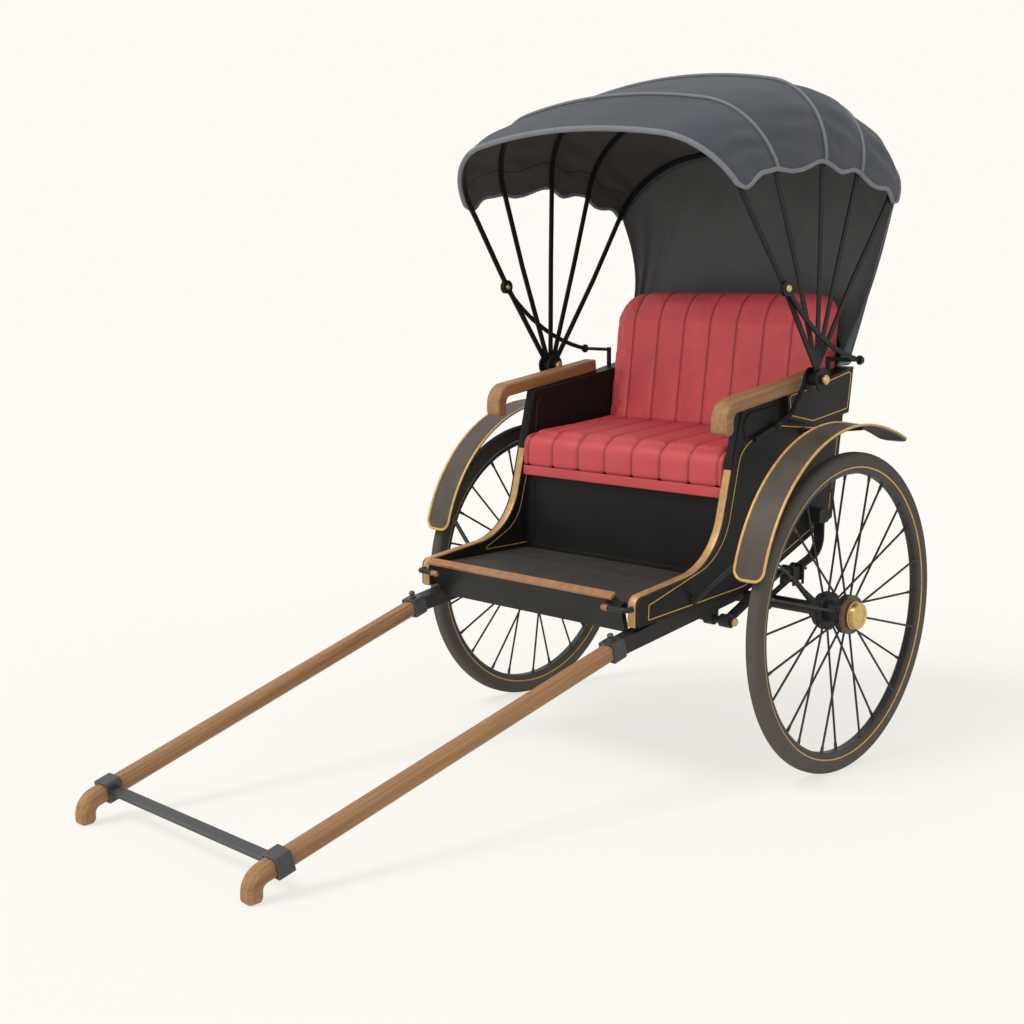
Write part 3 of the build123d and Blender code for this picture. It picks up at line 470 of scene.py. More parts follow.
coat(
    black_iron, "axle", "spring_left", "spring_right", "spring_hangers", "hanger_rod",
    "spring_saddles", "tail_brackets", "mudguard_irons", "rail_left", "rail_right",
)
clip_top = leaf_top_z + clip_wire + clip_gap
clip_y = spring_half + clip_wire + clip_gap
clips = []
for side in (1, -1):
    for x in clip_legs_x:
        places = ((-clip_y, clip_foot_z), (-clip_y, clip_top), (clip_y, clip_top), (clip_y, clip_foot_z))
        bent = rounded([(x, side * spring_mid_y + y, z) for y, z in places], clip_bend)
        clips.append(carried(bent, oval(2 * clip_wire, 2 * clip_wire), (1, 0, 0)))
piece("spring_clips", clips, black_iron, "black_iron")
bolt_outline = [
    (0.0, 0.0005), (0.0, 0.0125), (0.0050, 0.0125), (0.0062, 0.0112), (0.0062, 0.0075),
    (0.0090, 0.0066), (0.0108, 0.0040), (0.0112, 0.0004),
]
sideways = pair(0, 1, 0)
rod_ends = turned(pair(rod_x, rod_end_y, rod_z), sideways, bolt_outline, 24)
piece("hanger_bolts", rod_ends, brass, "brass")


# Coach body: panels of black lacquered board, framed at the front edge by a gilt moulding and lined
# out in gold by hand; a plank floor lies in the foot well, and a bead runs inside under each arm.
outer_y, inner_y, quarter_y = 0.446, 0.410, 0.466
edge_corners = [(0.250, 0.644), (0.365, 0.173), (0.744, 0.128), (0.744, 0.046)]
edge_radii = [0.210, 0.026]
gilt_from_z = 0.452
edge_mid_y, edge_width, edge_thick = 0.4245, 0.0270, 0.0100
pin_profile = oval(0.0036, 0.0014, 0.7, 8)
bead_profile = oval(0.0090, 0.0080, 1.0, 10)
# Lines in side view, as x and z in metres from the axle
side_line = [
    (0.062, 0.571), (0.186, 0.548), (0.262, 0.505), (0.337, 0.198), (0.694, 0.104), (0.696, 0.061),
    (0.214, 0.090), (-0.240, 0.262), (-0.286, 0.545), (-0.120, 0.552), (0.062, 0.571),
]
side_radii = [0.10, 0.09, 0.20, 0.004, 0.004, 0.30, 0.02, 0.03, 0.02]
quarter_line = [
    (-0.220, 0.7045), (-0.120, 0.6850), (0.036, 0.6625), (0.0245, 0.6010), (-0.100, 0.5770),
    (-0.302, 0.6040), (-0.320, 0.7240), (-0.220, 0.7045),
]
inner_line = [(0.268, 0.440), (0.335, 0.205), (0.500, 0.130), (0.276, 0.130)]
inner_bead = [(-0.105, 0.676), (0.235, 0.628), (0.246, 0.480)]
outer_bead = [(0.062, 0.6345), (0.225, 0.6195), (0.250, 0.590), (0.243, 0.548), (0.226, 0.540)]
quarter_radius, inner_radii, arm_radius, outer_radii = 0.012, [0.13, 0.004], 0.05, [0.03, 0.03, 0.008]
fine_step, bead_step = radians(5), radians(6)
plank_count, plank_gap, plank_thick, plank_lift = 5, 0.0024, 0.0050, 0.0003
floor_front_x, floor_back_x, floor_z, floor_half = 0.742, 0.292, 0.110, 0.4085

lacquer = finish(
    "black_lacquer", (0.0125, 0.0122, 0.0112), 0.44, specular=0.14, size=7, spread=0.14, grit=0.25,
    lift=0.0003, worn_to=(0.085, 0.070, 0.052), wear=0.7, dust=0.10,
)
pinstripe = finish("gold_lining", (0.61, 0.35, 0.085), 0.45, metallic=0.2, size=90, spread=0.15)
edge_gilt = finish(
    "gilt_moulding", (0.50, 0.295, 0.120), 0.40, metallic=0.35, size=34, spread=0.22, grit=0.5,
    worn_to=(0.80, 0.58, 0.30), wear=0.9,
)
plank_black = finish(
    "stained_planks", (0.034, 0.032, 0.029), 0.62, specular=0.25, size=18, spread=0.20, grit=0.9,
    lift=0.0008, worn_to=(0.090, 0.082, 0.070), wear=1.0, dust=0.25,
)
coat(
    lacquer, "side_panel_left", "side_panel_right", "quarter_panel_left", "quarter_panel_right",
    "kick_panel", "back_panel", "under_board", "toe_board", "floor_board",
)


def in_side_view(path, y):
    """A path's x and z with one y for all its points."""
    path = np.asarray(path, float)
    return np.column_stack([path[:, 0], np.full(len(path), y), path[:, 1]])


def outward(path):
    """The direction square to a path in side view, to its left as it runs."""
    along = np.gradient(np.asarray(path, float), axis=0)
    return unit(np.column_stack([along[:, 2], 0 * along[:, 0], -along[:, 0]]))


front_edge = rounded(edge_corners, edge_radii, fine_step)
corner_at = np.argmax(front_edge[:, 1] < gilt_from_z)
above, below = front_edge[corner_at - 1], front_edge[corner_at]
join = above + (above[1] - gilt_from_z) / (above[1] - below[1]) * (below - above)
gilt_run = np.concatenate([join[None], front_edge[corner_at:]])
plain_run = np.concatenate([front_edge[:corner_at], join[None]])
moulding = oval(edge_width, edge_thick, 0.45, 20)
for run, name, material, slot in (
    (gilt_run, "gilt_mouldings", edge_gilt, "brass"),
    (plain_run, "black_mouldings", lacquer, "black_lacquer"),
):
    strips = []
    for side in (1, -1):
        path = in_side_view(run, side * edge_mid_y)
        strips.append(carried(path, moulding, outward(path)))
    piece(name, strips, material, slot)

# Columns: name, corners, radii, y, the way it faces, profile, whether it closes, finish, slot
for name, corners, radii, y, face, profile, closed, material, slot in (
    ("side_lining", side_line, side_radii, outer_y, 1, pin_profile, True, pinstripe, "brass"),
    ("quarter_lining", quarter_line, quarter_radius, quarter_y, 1, pin_profile, True, pinstripe, "brass"),
    ("inner_lining", inner_line, inner_radii, inner_y, -1, pin_profile, False, pinstripe, "brass"),
    ("inner_beads", inner_bead, arm_radius, inner_y, -1, bead_profile, False, lacquer, "black_lacquer"),
    ("outer_beads", outer_bead, outer_radii, outer_y, 1, bead_profile, False, lacquer, "black_lacquer"),
):
    line = rounded(corners, radii, bead_step if profile is bead_profile else fine_step)
    line = line[:-1] if closed else line
    paths = [(in_side_view(line, side * y), (0, face * side, 0)) for side in (1, -1)]
    strips = [carried(path, profile, way, closed) for path, way in paths]
    piece(name, strips, material, slot, along=closed)
plank_pitch = (floor_front_x - floor_back_x) / plank_count
plank_path = np.column_stack([np.zeros(9), np.linspace(-floor_half, floor_half, 9), np.zeros(9)])
plank_profile = oval(plank_pitch - plank_gap, plank_thick, 0.22, 28)
plank_z = floor_z + plank_thick / 2 + plank_lift
plank_places = [(floor_back_x + (at + 0.5) * plank_pitch, 0, plank_z) for at in range(plank_count)]
planks = [carried(plank_path + place, plank_profile, (0, 0, 1)) for place in plank_places]
piece("floor_planks", planks, plank_black, "black_lacquer", sharp=60)


# Upholstery: a seat cushion and a back cushion in red leather, sewn in channels over springs and
# stuffing, each pulled in along its seams. A red leather strip covers the seat board's nose.
seat_seams = np.array([-0.390, -0.2815, -0.169, -0.056, 0.056, 0.169, 0.2815, 0.390])
back_seams = np.array([-0.327, -0.218, -0.109, 0.0, 0.109, 0.218, 0.327])
# The last is the half width of the painted shade along each seam
seam_depth, seam_half, seam_shade_half = 0.0055, 0.0080, 0.0026
crown_lift, crown_reach = 0.0026, 0.045
voxel, steps, swell_cap, pull_cap = 0.0070, 20, 0.013, 0.0015
seat_low_z, solid_low_z, cushion_half_y, back_roll, back_roll_z = 0.3966, 0.3964, 0.4085, 1.2, 0.76
seat_rear_x, back_foot_x, back_slope, seat_top_z = -0.1195, -0.1225, 0.096, 0.530
panel_x, panel_z, panel_slope = -0.2640 + 0.0190, 0.246, 0.069 / 0.492
seat_mid_x, seat_trim_front, seat_trim_rear, seat_flatten = 0.2, 0.003, 0.004, 0.94
back_mid_x, back_trim, back_stretch, narrowing = -0.26, 0.008, 1.018, 0.998
# How the cushions' cloth behaves while it is blown up
swelling = {
    "quality": 5, "mass": 0.3, "tension_stiffness": 15, "compression_stiffness": 15, "shear_stiffness": 5,
    "bending_stiffness": 0.5, "use_pressure": True, "uniform_pressure_force": 4.0,
}
nose_x, nose_z, nose_half, nose_height = 0.3045, 0.3815, 0.4090, 0.0320

# Leather: small pebbles between creases, with clouds in the dye
new_hide = {"Colour": (0.5, 0.07, 0.08, 1), "Pebble": 420.0}
leather_grain, given, result = effect("leather_grain", new_hide, ("Colour", "Roughness", "Height"))
place = add(leather_grain, "ShaderNodeTexCoord").outputs["Object"]
cells = {"Vector": place, "Scale": given["Pebble"]}
crease = add(leather_grain, "ShaderNodeTexVoronoi", cells, feature="DISTANCE_TO_EDGE").outputs["Distance"]
pebble = number(leather_grain, "MULTIPLY", crease, 3.0, clamp=True)
dye = number(leather_grain, "SUBTRACT", noise(leather_grain, place, 11.0, 4.0, 0.6), 0.5)
tone = number(leather_grain, "MULTIPLY_ADD", dye, 0.42, 0.94)
tone = number(leather_grain, "MULTIPLY_ADD", pebble, 0.08, tone)
dyed = scaled(leather_grain, given["Colour"], tone)
gloss = number(leather_grain, "MULTIPLY_ADD", dye, 0.35, 0.47)
deliver(leather_grain, result, Colour=dyed, Roughness=gloss, Height=pebble)


def leather(name, colour):
    """Dyed leather: pebbled, with painted shade along the seams, where the piece's point attribute marks
    them.
    """
    material, tree = blank(name)
    hide = use(tree, leather_grain, Colour=(*colour, 1))
    # Painted shade: the leather is darkened towards near-black red in the seam grooves
    seam_shade_mask = add(tree, "ShaderNodeAttribute", attribute_name="seam_shade_mask").outputs["Fac"]
    dark = number(tree, "MULTIPLY", seam_shade_mask, 0.86)
    shade = blended(tree, dark, hide["Colour"], (0.085, 0.012, 0.014, 1))
    surface(tree, shade, hide, 0.35, 0.0004, {"Specular IOR Level": 0.35})
    return material


def levelled(points):
    """The level frame's points for ones in the road frame, the parking undone."""
    x, y, z = np.moveaxis(np.asarray(points, float), -1, 0)
    x, z = x - axle_x, z - axle_height
    return np.stack(
        [x * cos(park_tilt) - z * sin(park_tilt), y, x * sin(park_tilt) + z * cos(park_tilt)], -1
    )


def coordinates(mesh):
    """A mesh's points as one array."""
    points = np.empty(3 * len(mesh.vertices))
    mesh.vertices.foreach_get("co", points)
    return points.reshape(-1, 3)


def put_coordinates(mesh, points):
    """Puts an array of points back into its mesh."""
    mesh.vertices.foreach_set("co", np.asarray(points, np.float32).ravel())
    mesh.update()


def facing(mesh):
    """The way that a mesh faces at each point."""
    ways = np.empty(3 * len(mesh.vertices))
    mesh.vertex_normals.foreach_get("vector", ways)
    return ways.reshape(-1, 3)


def settled(thing):
    """The thing's mesh with its modifiers applied, as a mesh of its own."""
    graph = bpy.context.evaluated_depsgraph_get()
    return bpy.data.meshes.new_from_object(thing.evaluated_get(graph))


def stuffed(name, node, shrink, keep_inside, seams, material):
    """A padded piece in the room of a CAD solid: the solid's skin drawn in a little and meshed again
    in small squares, blown up as cloth by a gentle pressure with each point's way capped, kept
    inside its room, then drawn in along its seam planes: depth times a bell of the distance to the
    nearest seam, less a low crown between seams."""
    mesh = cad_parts[node].data.copy()
    sewn = bmesh.new()
    sewn.from_mesh(mesh)
    bmesh.ops.remove_doubles(sewn, verts=sewn.verts, dist=2e-5)
    sewn.to_mesh(mesh)
    sewn.free()
    put_coordinates(mesh, parked(shrink(levelled(coordinates(mesh)))))
    pad = stand_in_scene(name, mesh)
    remesh = pad.modifiers.new("squares", "REMESH")
    remesh.mode = "VOXEL"
    remesh.voxel_size = voxel
    pad.data = settled(pad)
    pad.modifiers.clear()
    still = coordinates(pad.data)
    cloth = pad.modifiers.new("swell", "CLOTH")
    for setting, value in swelling.items():
        setattr(cloth.settings, setting, value)
    cloth.settings.effector_weights.gravity = 0
    cloth.point_cache.frame_start = 1
    cloth.point_cache.frame_end = steps
    for step in range(1, steps + 1):
        scene.frame_set(step)
    swollen = coordinates(settled(pad))
    pad.modifiers.clear()
    scene.frame_set(1)
    move = swollen - still
    out = (move * facing(pad.data)).sum(1, keepdims=True) > 0
    far = np.linalg.norm(move, axis=1, keepdims=True)
    cap = np.where(out, swell_cap, pull_cap)
    still = still + move * np.minimum(1, cap / np.maximum(far, 1e-9))
    put_coordinates(pad.data, parked(keep_inside(levelled(still))))
    smooth = pad.modifiers.new("fine", "SUBSURF")
    smooth.levels = smooth.render_levels = 1
    pad.data = settled(pad)
    pad.modifiers.clear()
    points = coordinates(pad.data)
    level = levelled(points)
    off = abs(level[:, 1:2] - seams[None]).min(1)
    bell = np.exp(-((off / seam_half) ** 2))
    crown = crown_lift * np.clip(off / crown_reach, 0, 1) ** 0.7
    moved = points + facing(pad.data) * (crown - seam_depth * bell)[:, None]
    put_coordinates(pad.data, parked(keep_inside(levelled(moved))))
    # Closeness to the nearest seam, which the leather turns into painted shade in the seam grooves
    seam_shade_mask = pad.data.attributes.new("seam_shade_mask", "FLOAT", "POINT")
    seam_shade_mask.data.foreach_set("value", np.exp(-((off / seam_shade_half) ** 2)).astype(np.float32))
    pad.data.polygons.foreach_set("use_smooth", np.ones(len(pad.data.polygons), bool))
    pad.data.materials.clear()
    pad.data.materials.append(material)
    pad.data.name = name
    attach(pad, "carriage")
    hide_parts(node)
    return pad


def seat_drawn_in(p):
    """The seat's solid a little narrower, lower and shorter at the front."""
    x = p[:, 0] + np.where(p[:, 0] > seat_mid_x, -seat_trim_front, seat_trim_rear)
    return np.stack([x, p[:, 1] * narrowing, seat_low_z + (p[:, 2] - solid_low_z) * seat_flatten], -1)


def in_room(x, p):
    """Points at x, between the side panels and on the seat board."""
    y = np.clip(p[:, 1], -cushion_half_y, cushion_half_y)
    return np.stack([x, y, np.maximum(p[:, 2], seat_low_z)], -1)


def seat_kept(p):
    """The seat between the side panels, on its board, and behind to the back cushion's foot."""
    rear = seat_rear_x - back_slope * (p[:, 2] - solid_low_z)
    return in_room(np.maximum(p[:, 0], rear), p)


def back_drawn_in(p):
    """The back's solid a little narrower and taller, thinner from its front, and rolled backwards
    by the square of the height above a line near its shoulders."""
    roll = back_roll * np.clip(p[:, 2] - back_roll_z, 0, None) ** 2
    x = p[:, 0] - back_trim * (p[:, 0] > back_mid_x) - roll
    return np.stack([x, p[:, 1] * narrowing, seat_low_z + (p[:, 2] - solid_low_z) * back_stretch], -1)


def back_kept(p):
    """The back in front of its panel, between the sides, and behind the seat below its top."""
    panel = panel_x - panel_slope * (p[:, 2] - panel_z)
    foot = back_foot_x - back_slope * (p[:, 2] - solid_low_z)
    x = np.where(p[:, 2] < seat_top_z, np.minimum(p[:, 0], foot), p[:, 0])
    return in_room(np.maximum(x, panel), p)


red_leather = leather("red_leather", (0.55, 0.069, 0.077))
# Painted light: the back cushion's leather is a lighter copy of the seat's red, to offset the hood's
# shade on it
back_leather_painted_lighter = leather("back_leather_painted_lighter", (0.80, 0.116, 0.126))
stuffed("seat_pad", "seat_cushion", seat_drawn_in, seat_kept, seat_seams, red_leather)
stuffed("back_pad", "back_cushion", back_drawn_in, back_kept, back_seams, back_leather_painted_lighter)
nose_path = np.linspace((nose_x, -nose_half, nose_z), (nose_x, nose_half, nose_z), 21)
piece(
    "seat_nose_strip", carried(nose_path, oval(nose_height, 0.0050, 0.35, 20), (1, 0, 0)),
    red_leather, "upholstery",
)
coat(lacquer, "seat_board")


# Woodwork: armrests and pull shafts of oiled hardwood, bent and planed, with the grain along them.
# Iron sleeves and the pull bar hold the shafts; a copper moulding caps the toe board.
arm_turn = atan2(0.043, 0.301) + park_tilt
shaft_from, shaft_to = np.array((0.811, 0.411, -0.010)), np.array((1.952, 0.364, -0.313))
peg_tip, lug_lift = (0.776, 0.352, 0.098), 0.0292

# Wood: long streaks and short pores along the first axis, after turning the piece to lie along it
oiled = {"Turn": (0, 0, 0), "Light": (0.4, 0.2, 0.1, 1), "Dark": (0.2, 0.1, 0.05, 1)}
wood_grain, given, result = effect("wood_grain", oiled, ("Colour", "Roughness", "Height"))
place = add(wood_grain, "ShaderNodeTexCoord").outputs["Object"]
place = add(wood_grain, "ShaderNodeMapping", {0: place, "Rotation": given["Turn"]}).outputs[0]
streak_place, pore_place = (
    add(wood_grain, "ShaderNodeVectorMath", {0: place, 1: by}, operation="MULTIPLY").outputs[0]
    for by in ((2.2, 62, 62), (16, 420, 420))
)
streak = noise(wood_grain, streak_place, 1.0, 5.0, 0.62, 0.5)
pore = noise(wood_grain, pore_place, 1.0, 3.0, 0.6)
amount = number(wood_grain, "MULTIPLY_ADD", number(wood_grain, "SUBTRACT", streak, 0.5), 2.1, 0.5)
fleck = number(wood_grain, "SUBTRACT", pore, 0.5)
amount = number(wood_grain, "MULTIPLY_ADD", fleck, 0.9, amount, clamp=True)
shade = blended(wood_grain, amount, given["Dark"], given["Light"])
gloss = number(wood_grain, "MULTIPLY_ADD", amount, -0.12, 0.56)
relief = number(wood_grain, "ADD", pore, streak)
deliver(wood_grain, result, Colour=shade, Roughness=gloss, Height=relief)


def hardwood(name, turn, light=(0.410, 0.220, 0.096), dark=(0.225, 0.108, 0.044)):
    """Oiled hardwood with the grain along the piece, paler where its edges are rubbed."""
    material, tree = blank(name)
    board = use(tree, wood_grain, Turn=turn, Light=(*light, 1), Dark=(*dark, 1))
    mask = use(tree, edge_wear, Reach=0.003, Amount=0.8)[0]
    shade = blended(tree, mask, board["Colour"], (0.56, 0.32, 0.15, 1))
    surface(tree, shade, board, 0.4, 0.0006, {"Specular IOR Level": 0.35})
    return material


coat(hardwood("armrest_wood", (0, -arm_turn, 0)), "armrest_left", "armrest_right")
dark_steel = finish(
    "dark_steel", (0.060, 0.063, 0.068), 0.42, metallic=0.35, size=46, spread=0.14, grit=0.6,
    worn_to=(0.24, 0.24, 0.24), wear=0.9,
)
copper = finish(
    "copper_moulding", (0.352, 0.168, 0.075), 0.42, metallic=0.4, size=40, spread=0.25,
    worn_to=(0.62, 0.36, 0.20), wear=0.9,
)
coat(dark_steel, "sockets", "pull_bar")
coat(copper, "toe_cap")
coat(black_iron, "toe_pegs")
for hand, side in hands:
    run = parked(shaft_to * (1, side, 1)) - parked(shaft_from * (1, side, 1))
    dip, swing_out = atan2(-run[2], hypot(run[0], run[1])), atan2(run[1], run[0])
    coat(hardwood("shaft_wood_" + hand, (0, -dip, -swing_out)), "shaft_" + hand)
tip_outline = [
    (-0.012, 0.0060), (-0.012, 0.0096), (0.006, 0.0096), (0.0105, 0.0080), (0.0125, 0.0045),
    (0.0130, 0.0004),
]
piece("peg_tips", turned(pair(*peg_tip), -sideways, tip_outline, 20), copper, "copper")
lug_along = unit(shaft_to - shaft_from)
lug_up = unit(np.cross((lug_along[0], 0, lug_along[2]), (0, 1, 0)))
lug_places = pair(*(shaft_from + lug_up * lug_lift))
lug_outline = [
    (-0.0005, 0.0110), (0.0030, 0.0110), (0.0040, 0.0060), (0.0080, 0.0055), (0.0105, 0.0080),
    (0.0150, 0.0098), (0.0195, 0.0080), (0.0220, 0.0040), (0.0226, 0.0004),
]
piece("socket_bolts", turned(lug_places, lug_up, lug_outline, 20), dark_steel, "steel")


# Mudguards: rolled steel strips painted brown, each with a gilt half-round bead all round its edge
# and a near-black sheet laid under it as painted shade on its underside.
guard_r, guard_thick, guard_in_y, guard_out_y = 0.515, 0.005, 0.588, 0.693
guard_x, guard_z = -0.013, 0.067
guard_front, guard_top, guard_tail_r, guard_tail = radians(11.5), radians(97), 0.75, radians(18.5)
guard_corner, guard_bead = 0.034, 0.0088
# Inset, thickness and gap of the near-black sheet under each guard, which is painted shade
shade_sheet_inset, shade_sheet_thick, shade_sheet_gap = 0.0115, 0.0006, 0.0001
guard_paint = finish(
    "guard_paint", (0.068, 0.055, 0.044), 0.50, specular=0.35, size=9, spread=0.30, grit=0.4,
    worn_to=(0.22, 0.18, 0.14), wear=0.5, dust=0.15,
)
# Painted shade: the near-black finish of the sheet that stands for the shade under each guard
guard_shade_finish = finish("guard_painted_shade", (0.016, 0.0155, 0.015), 0.66, specular=0.2, size=26, spread=0.3, grit=0.9)
coat(guard_paint, "mudguard_left", "mudguard_right")


def strides(points, axis=0):
    """The distances from each point to the next along one axis of a grid."""
    return np.linalg.norm(np.diff(points, axis=axis), axis=-1)


def on_guard(run, lift):
    """The guard's side view: run goes along the wheel's arc from its front end, then along the
    flatter tail arc, and lift goes out from the middle of the sheet. Gives x, z and the way out."""
    arc = guard_r * (guard_top - guard_front)
    wrap = guard_front + np.minimum(run, arc) / guard_r
    tail = guard_top + np.maximum(run - arc, 0) / guard_tail_r
    bend = np.where(run <= arc, wrap, tail)
    hub_x = guard_x + np.where(run <= arc, 0, (guard_r - guard_tail_r) * cos(guard_top))
    hub_z = guard_z + np.where(run <= arc, 0, (guard_r - guard_tail_r) * sin(guard_top))
    radius = np.where(run <= arc, guard_r, guard_tail_r) + lift
    return hub_x + radius * np.cos(bend), hub_z + radius * np.sin(bend), np.cos(bend), np.sin(bend)


guard_long = guard_r * (guard_top - guard_front) + guard_tail_r * guard_tail
inset = 0.0022
guard_box = [
    (guard_long / 2, guard_in_y + inset), (guard_long - inset, guard_in_y + inset),
    (guard_long - inset, guard_out_y - inset), (inset, guard_out_y - inset),
    (inset, guard_in_y + inset), (guard_long / 2, guard_in_y + inset),
]
flat_loop = rounded(guard_box, guard_corner - inset, radians(8))
lengths = np.concatenate([[0], np.cumsum(strides(flat_loop))])
even_steps = np.linspace(0, lengths[-1], 320, endpoint=False)
flat_loop = np.column_stack([np.interp(even_steps, lengths, flat_loop[:, at]) for at in (0, 1)])
bead_x, bead_z, way_x, way_z = on_guard(flat_loop[:, 0], guard_thick / 2)
for hand, side in hands:
    bead_path = np.column_stack([bead_x, side * flat_loop[:, 1], bead_z])
    bead_up = np.column_stack([way_x, 0 * way_x, way_z])
    piece(
        "guard_bead_" + hand,
        carried(bead_path, oval(guard_bead, guard_bead * 0.8, 1.0, 10), bead_up, closed=True),
        gilt, "brass", along=True,
    )
    # The painted shade sheet, laid just under the guard's underside
    shade_sheet_run = np.linspace(shade_sheet_inset, guard_long - shade_sheet_inset, 121)[:, None]
    shade_sheet_y = np.array([guard_in_y + shade_sheet_inset, guard_out_y - shade_sheet_inset])[[0, 1, 1, 0]]
    shade_sheet_lift = -guard_thick / 2 - shade_sheet_gap - shade_sheet_thick * np.array([0, 0, 1, 1])
    shade_sheet_x, shade_sheet_z = on_guard(np.broadcast_to(shade_sheet_run, (121, 4)), shade_sheet_lift)[:2]
    piece(
        "guard_painted_shade_" + hand, np.stack([shade_sheet_x, np.broadcast_to(side * shade_sheet_y, (121, 4)), shade_sheet_z], -1),
        guard_shade_finish, "guard_paint",
    )


# Hood irons and bows: flat bows hinged on two pivots and stayed by curved props, in black iron, with
# brass buttons over the pivots and the props' studs.
pivot_x, pivot_z, stud_r, front_lean = 0.020, 0.717, 0.344, radians(36.75)
pivot_face_y, pivot_back_y, stud_face_y, stud_back_y = 0.5822, 0.5080, 0.5745, 0.5590
foot_bolt = (0.092, 0.4625, 0.575)
bow_black = finish(
    "bow_black", (0.012, 0.0125, 0.0135), 0.52, specular=0.16, size=40, grit=0.5,
    worn_to=(0.060, 0.060, 0.060), wear=0.35,
)
coat(
    bow_black, "bow_1", "bow_2", "bow_3", "bow_4", "bow_5", "prop_left", "prop_right",
    "hood_iron_left", "hood_iron_right", "hood_rests",
)
button_outline = [
    (-0.004, 0.0100), (-0.004, 0.0150), (0.0020, 0.0150), (0.0034, 0.0138), (0.0038, 0.0118),
    (0.0062, 0.0108), (0.0078, 0.0075), (0.0084, 0.0004),
]
pivots = [pair(pivot_x, y, pivot_z) for y in (pivot_face_y, pivot_back_y)]
pivot_ways = np.concatenate([sideways, -sideways])
piece("pivot_buttons", turned(np.concatenate(pivots), pivot_ways, button_outline, 32), brass, "brass")
stud_x, stud_z = pivot_x + stud_r * sin(front_lean), pivot_z + stud_r * cos(front_lean)
stud_outline = np.array(button_outline) * (1, 0.72)
for hand, side in hands:
    stud = turned((stud_x, side * stud_face_y, stud_z), (0, side, 0), stud_outline, 28)
    piece("stud_button_" + hand, stud, brass, "brass", "prop_" + hand)
back_outline = np.array(button_outline) * (0.7, 0.62)
stud_backs = turned(pair(stud_x, stud_back_y, stud_z), -sideways, back_outline, 28)
piece("stud_backs", stud_backs, brass, "brass", "bow_1")
foot_bolts = turned(pair(*foot_bolt), sideways, bolt_outline, 20)
piece("hood_iron_bolts", foot_bolts, black_iron, "black_iron")


# Hood cloth: four gores of waxed canvas with a dark lining, stretched from bow to bow and puffed a
# little between, with a scalloped, corded hem. Corded seams lie on the bows, the thickest in front.
bow_leans = np.radians([36.75, 22.0, 0.0, -18.0, -35.5])
bow_shares = np.array([0.979, 0.966, 0.988, 0.994, 1.0])
hood_half, hood_corner, hood_slope, hood_reach = 0.545, 0.240, radians(11.2), 0.940
hem_over, rear_over, corner_round, far_drop = radians(0.75), radians(3.0), radians(1.8), 0.032
cloth_out, cloth_thick, crown_puff, side_puff = 0.0095, 0.0024, 0.003, 0.022
fold_reach, crease_depth, slack_depth, flare_out = 0.600, 0.0042, 0.0030, 0.0050
front_cord, seam_cord, rear_cord, hem_cord, hem_in = 0.0165, 0.0115, 0.0130, 0.0140, 0.0012
# The hem's distance from the pivot at leans from front to back, in degrees and metres
hem_table = np.array(
    [
        (38.0, 0.694), (36.0, 0.684), (34.6, 0.681), (31.0, 0.688), (28.5, 0.684), (25.5, 0.672),
        (22.0, 0.664), (19.5, 0.650), (16.3, 0.636), (12.0, 0.632), (7.6, 0.638), (3.5, 0.648),
        (0.0, 0.650), (-3.0, 0.640), (-7.0, 0.625), (-10.0, 0.634), (-13.3, 0.650), (-18.0, 0.659),
        (-20.5, 0.650), (-24.0, 0.646), (-27.6, 0.658), (-31.5, 0.686), (-34.0, 0.686),
        (-36.5, 0.680), (-40.0, 0.674),
    ]
)

# Woven cloth: over-and-under threads on the piece's own map, with faded clouds
new_canvas = {"Colour": (0.09, 0.095, 0.11, 1), "Threads": 620.0, "Fade": 0.5}
canvas_weave, given, result = effect("canvas_weave", new_canvas, ("Colour", "Roughness", "Height"))
coords = add(canvas_weave, "ShaderNodeTexCoord").outputs
threads = scaled(canvas_weave, coords["UV"], number(canvas_weave, "MULTIPLY", given["Threads"], pi))
split = add(canvas_weave, "ShaderNodeSeparateXYZ", {0: threads}).outputs
warp, weft = (number(canvas_weave, "SINE", split[axis]) for axis in ("X", "Y"))
over = number(canvas_weave, "GREATER_THAN", number(canvas_weave, "MULTIPLY", warp, weft), 0.0)
under = number(canvas_weave, "SUBTRACT", 1.0, over)
on_top = number(canvas_weave, "MULTIPLY", over, number(canvas_weave, "ABSOLUTE", warp))
below = number(canvas_weave, "MULTIPLY", under, number(canvas_weave, "ABSOLUTE", weft))
thread = number(canvas_weave, "ADD", on_top, below)
fade = number(canvas_weave, "SUBTRACT", noise(canvas_weave, coords["Object"], 5.5, 5.0, 0.6, 0.4), 0.5)
tone = number(canvas_weave, "MULTIPLY_ADD", fade, given["Fade"], 0.93)
tone = number(canvas_weave, "MULTIPLY_ADD", thread, 0.10, tone)
faded = scaled(canvas_weave, given["Colour"], tone)
gloss = number(canvas_weave, "MULTIPLY_ADD", fade, 0.30, 0.74)
deliver(canvas_weave, result, Colour=faded, Roughness=gloss, Height=thread)


def woven(name, colour, fade=0.55, threads=620.0, seam=None):
    """Waxed canvas; seam is a stitched line at that distance up the piece's map, if it has one."""
    material, tree = blank(name)
    weave = use(tree, canvas_weave, Colour=(*colour, 1), Threads=threads, Fade=fade)
    shade = weave["Colour"]
    if seam:
        cut = add(tree, "ShaderNodeTexCoord").outputs["UV"]
        up = add(tree, "ShaderNodeSeparateXYZ", {0: cut}).outputs["Y"]
        line = number(tree, "COMPARE", up, seam, 0.0022)
        shade = blended(tree, number(tree, "MULTIPLY", line, 0.7), shade, (0.008, 0.008, 0.008, 1))
    plain = {"Specular IOR Level": 0.25, "Sheen Weight": 0.06, "Sheen Roughness": 0.6}
    surface(tree, shade, weave, 0.45, 0.0004, plain)
    return material


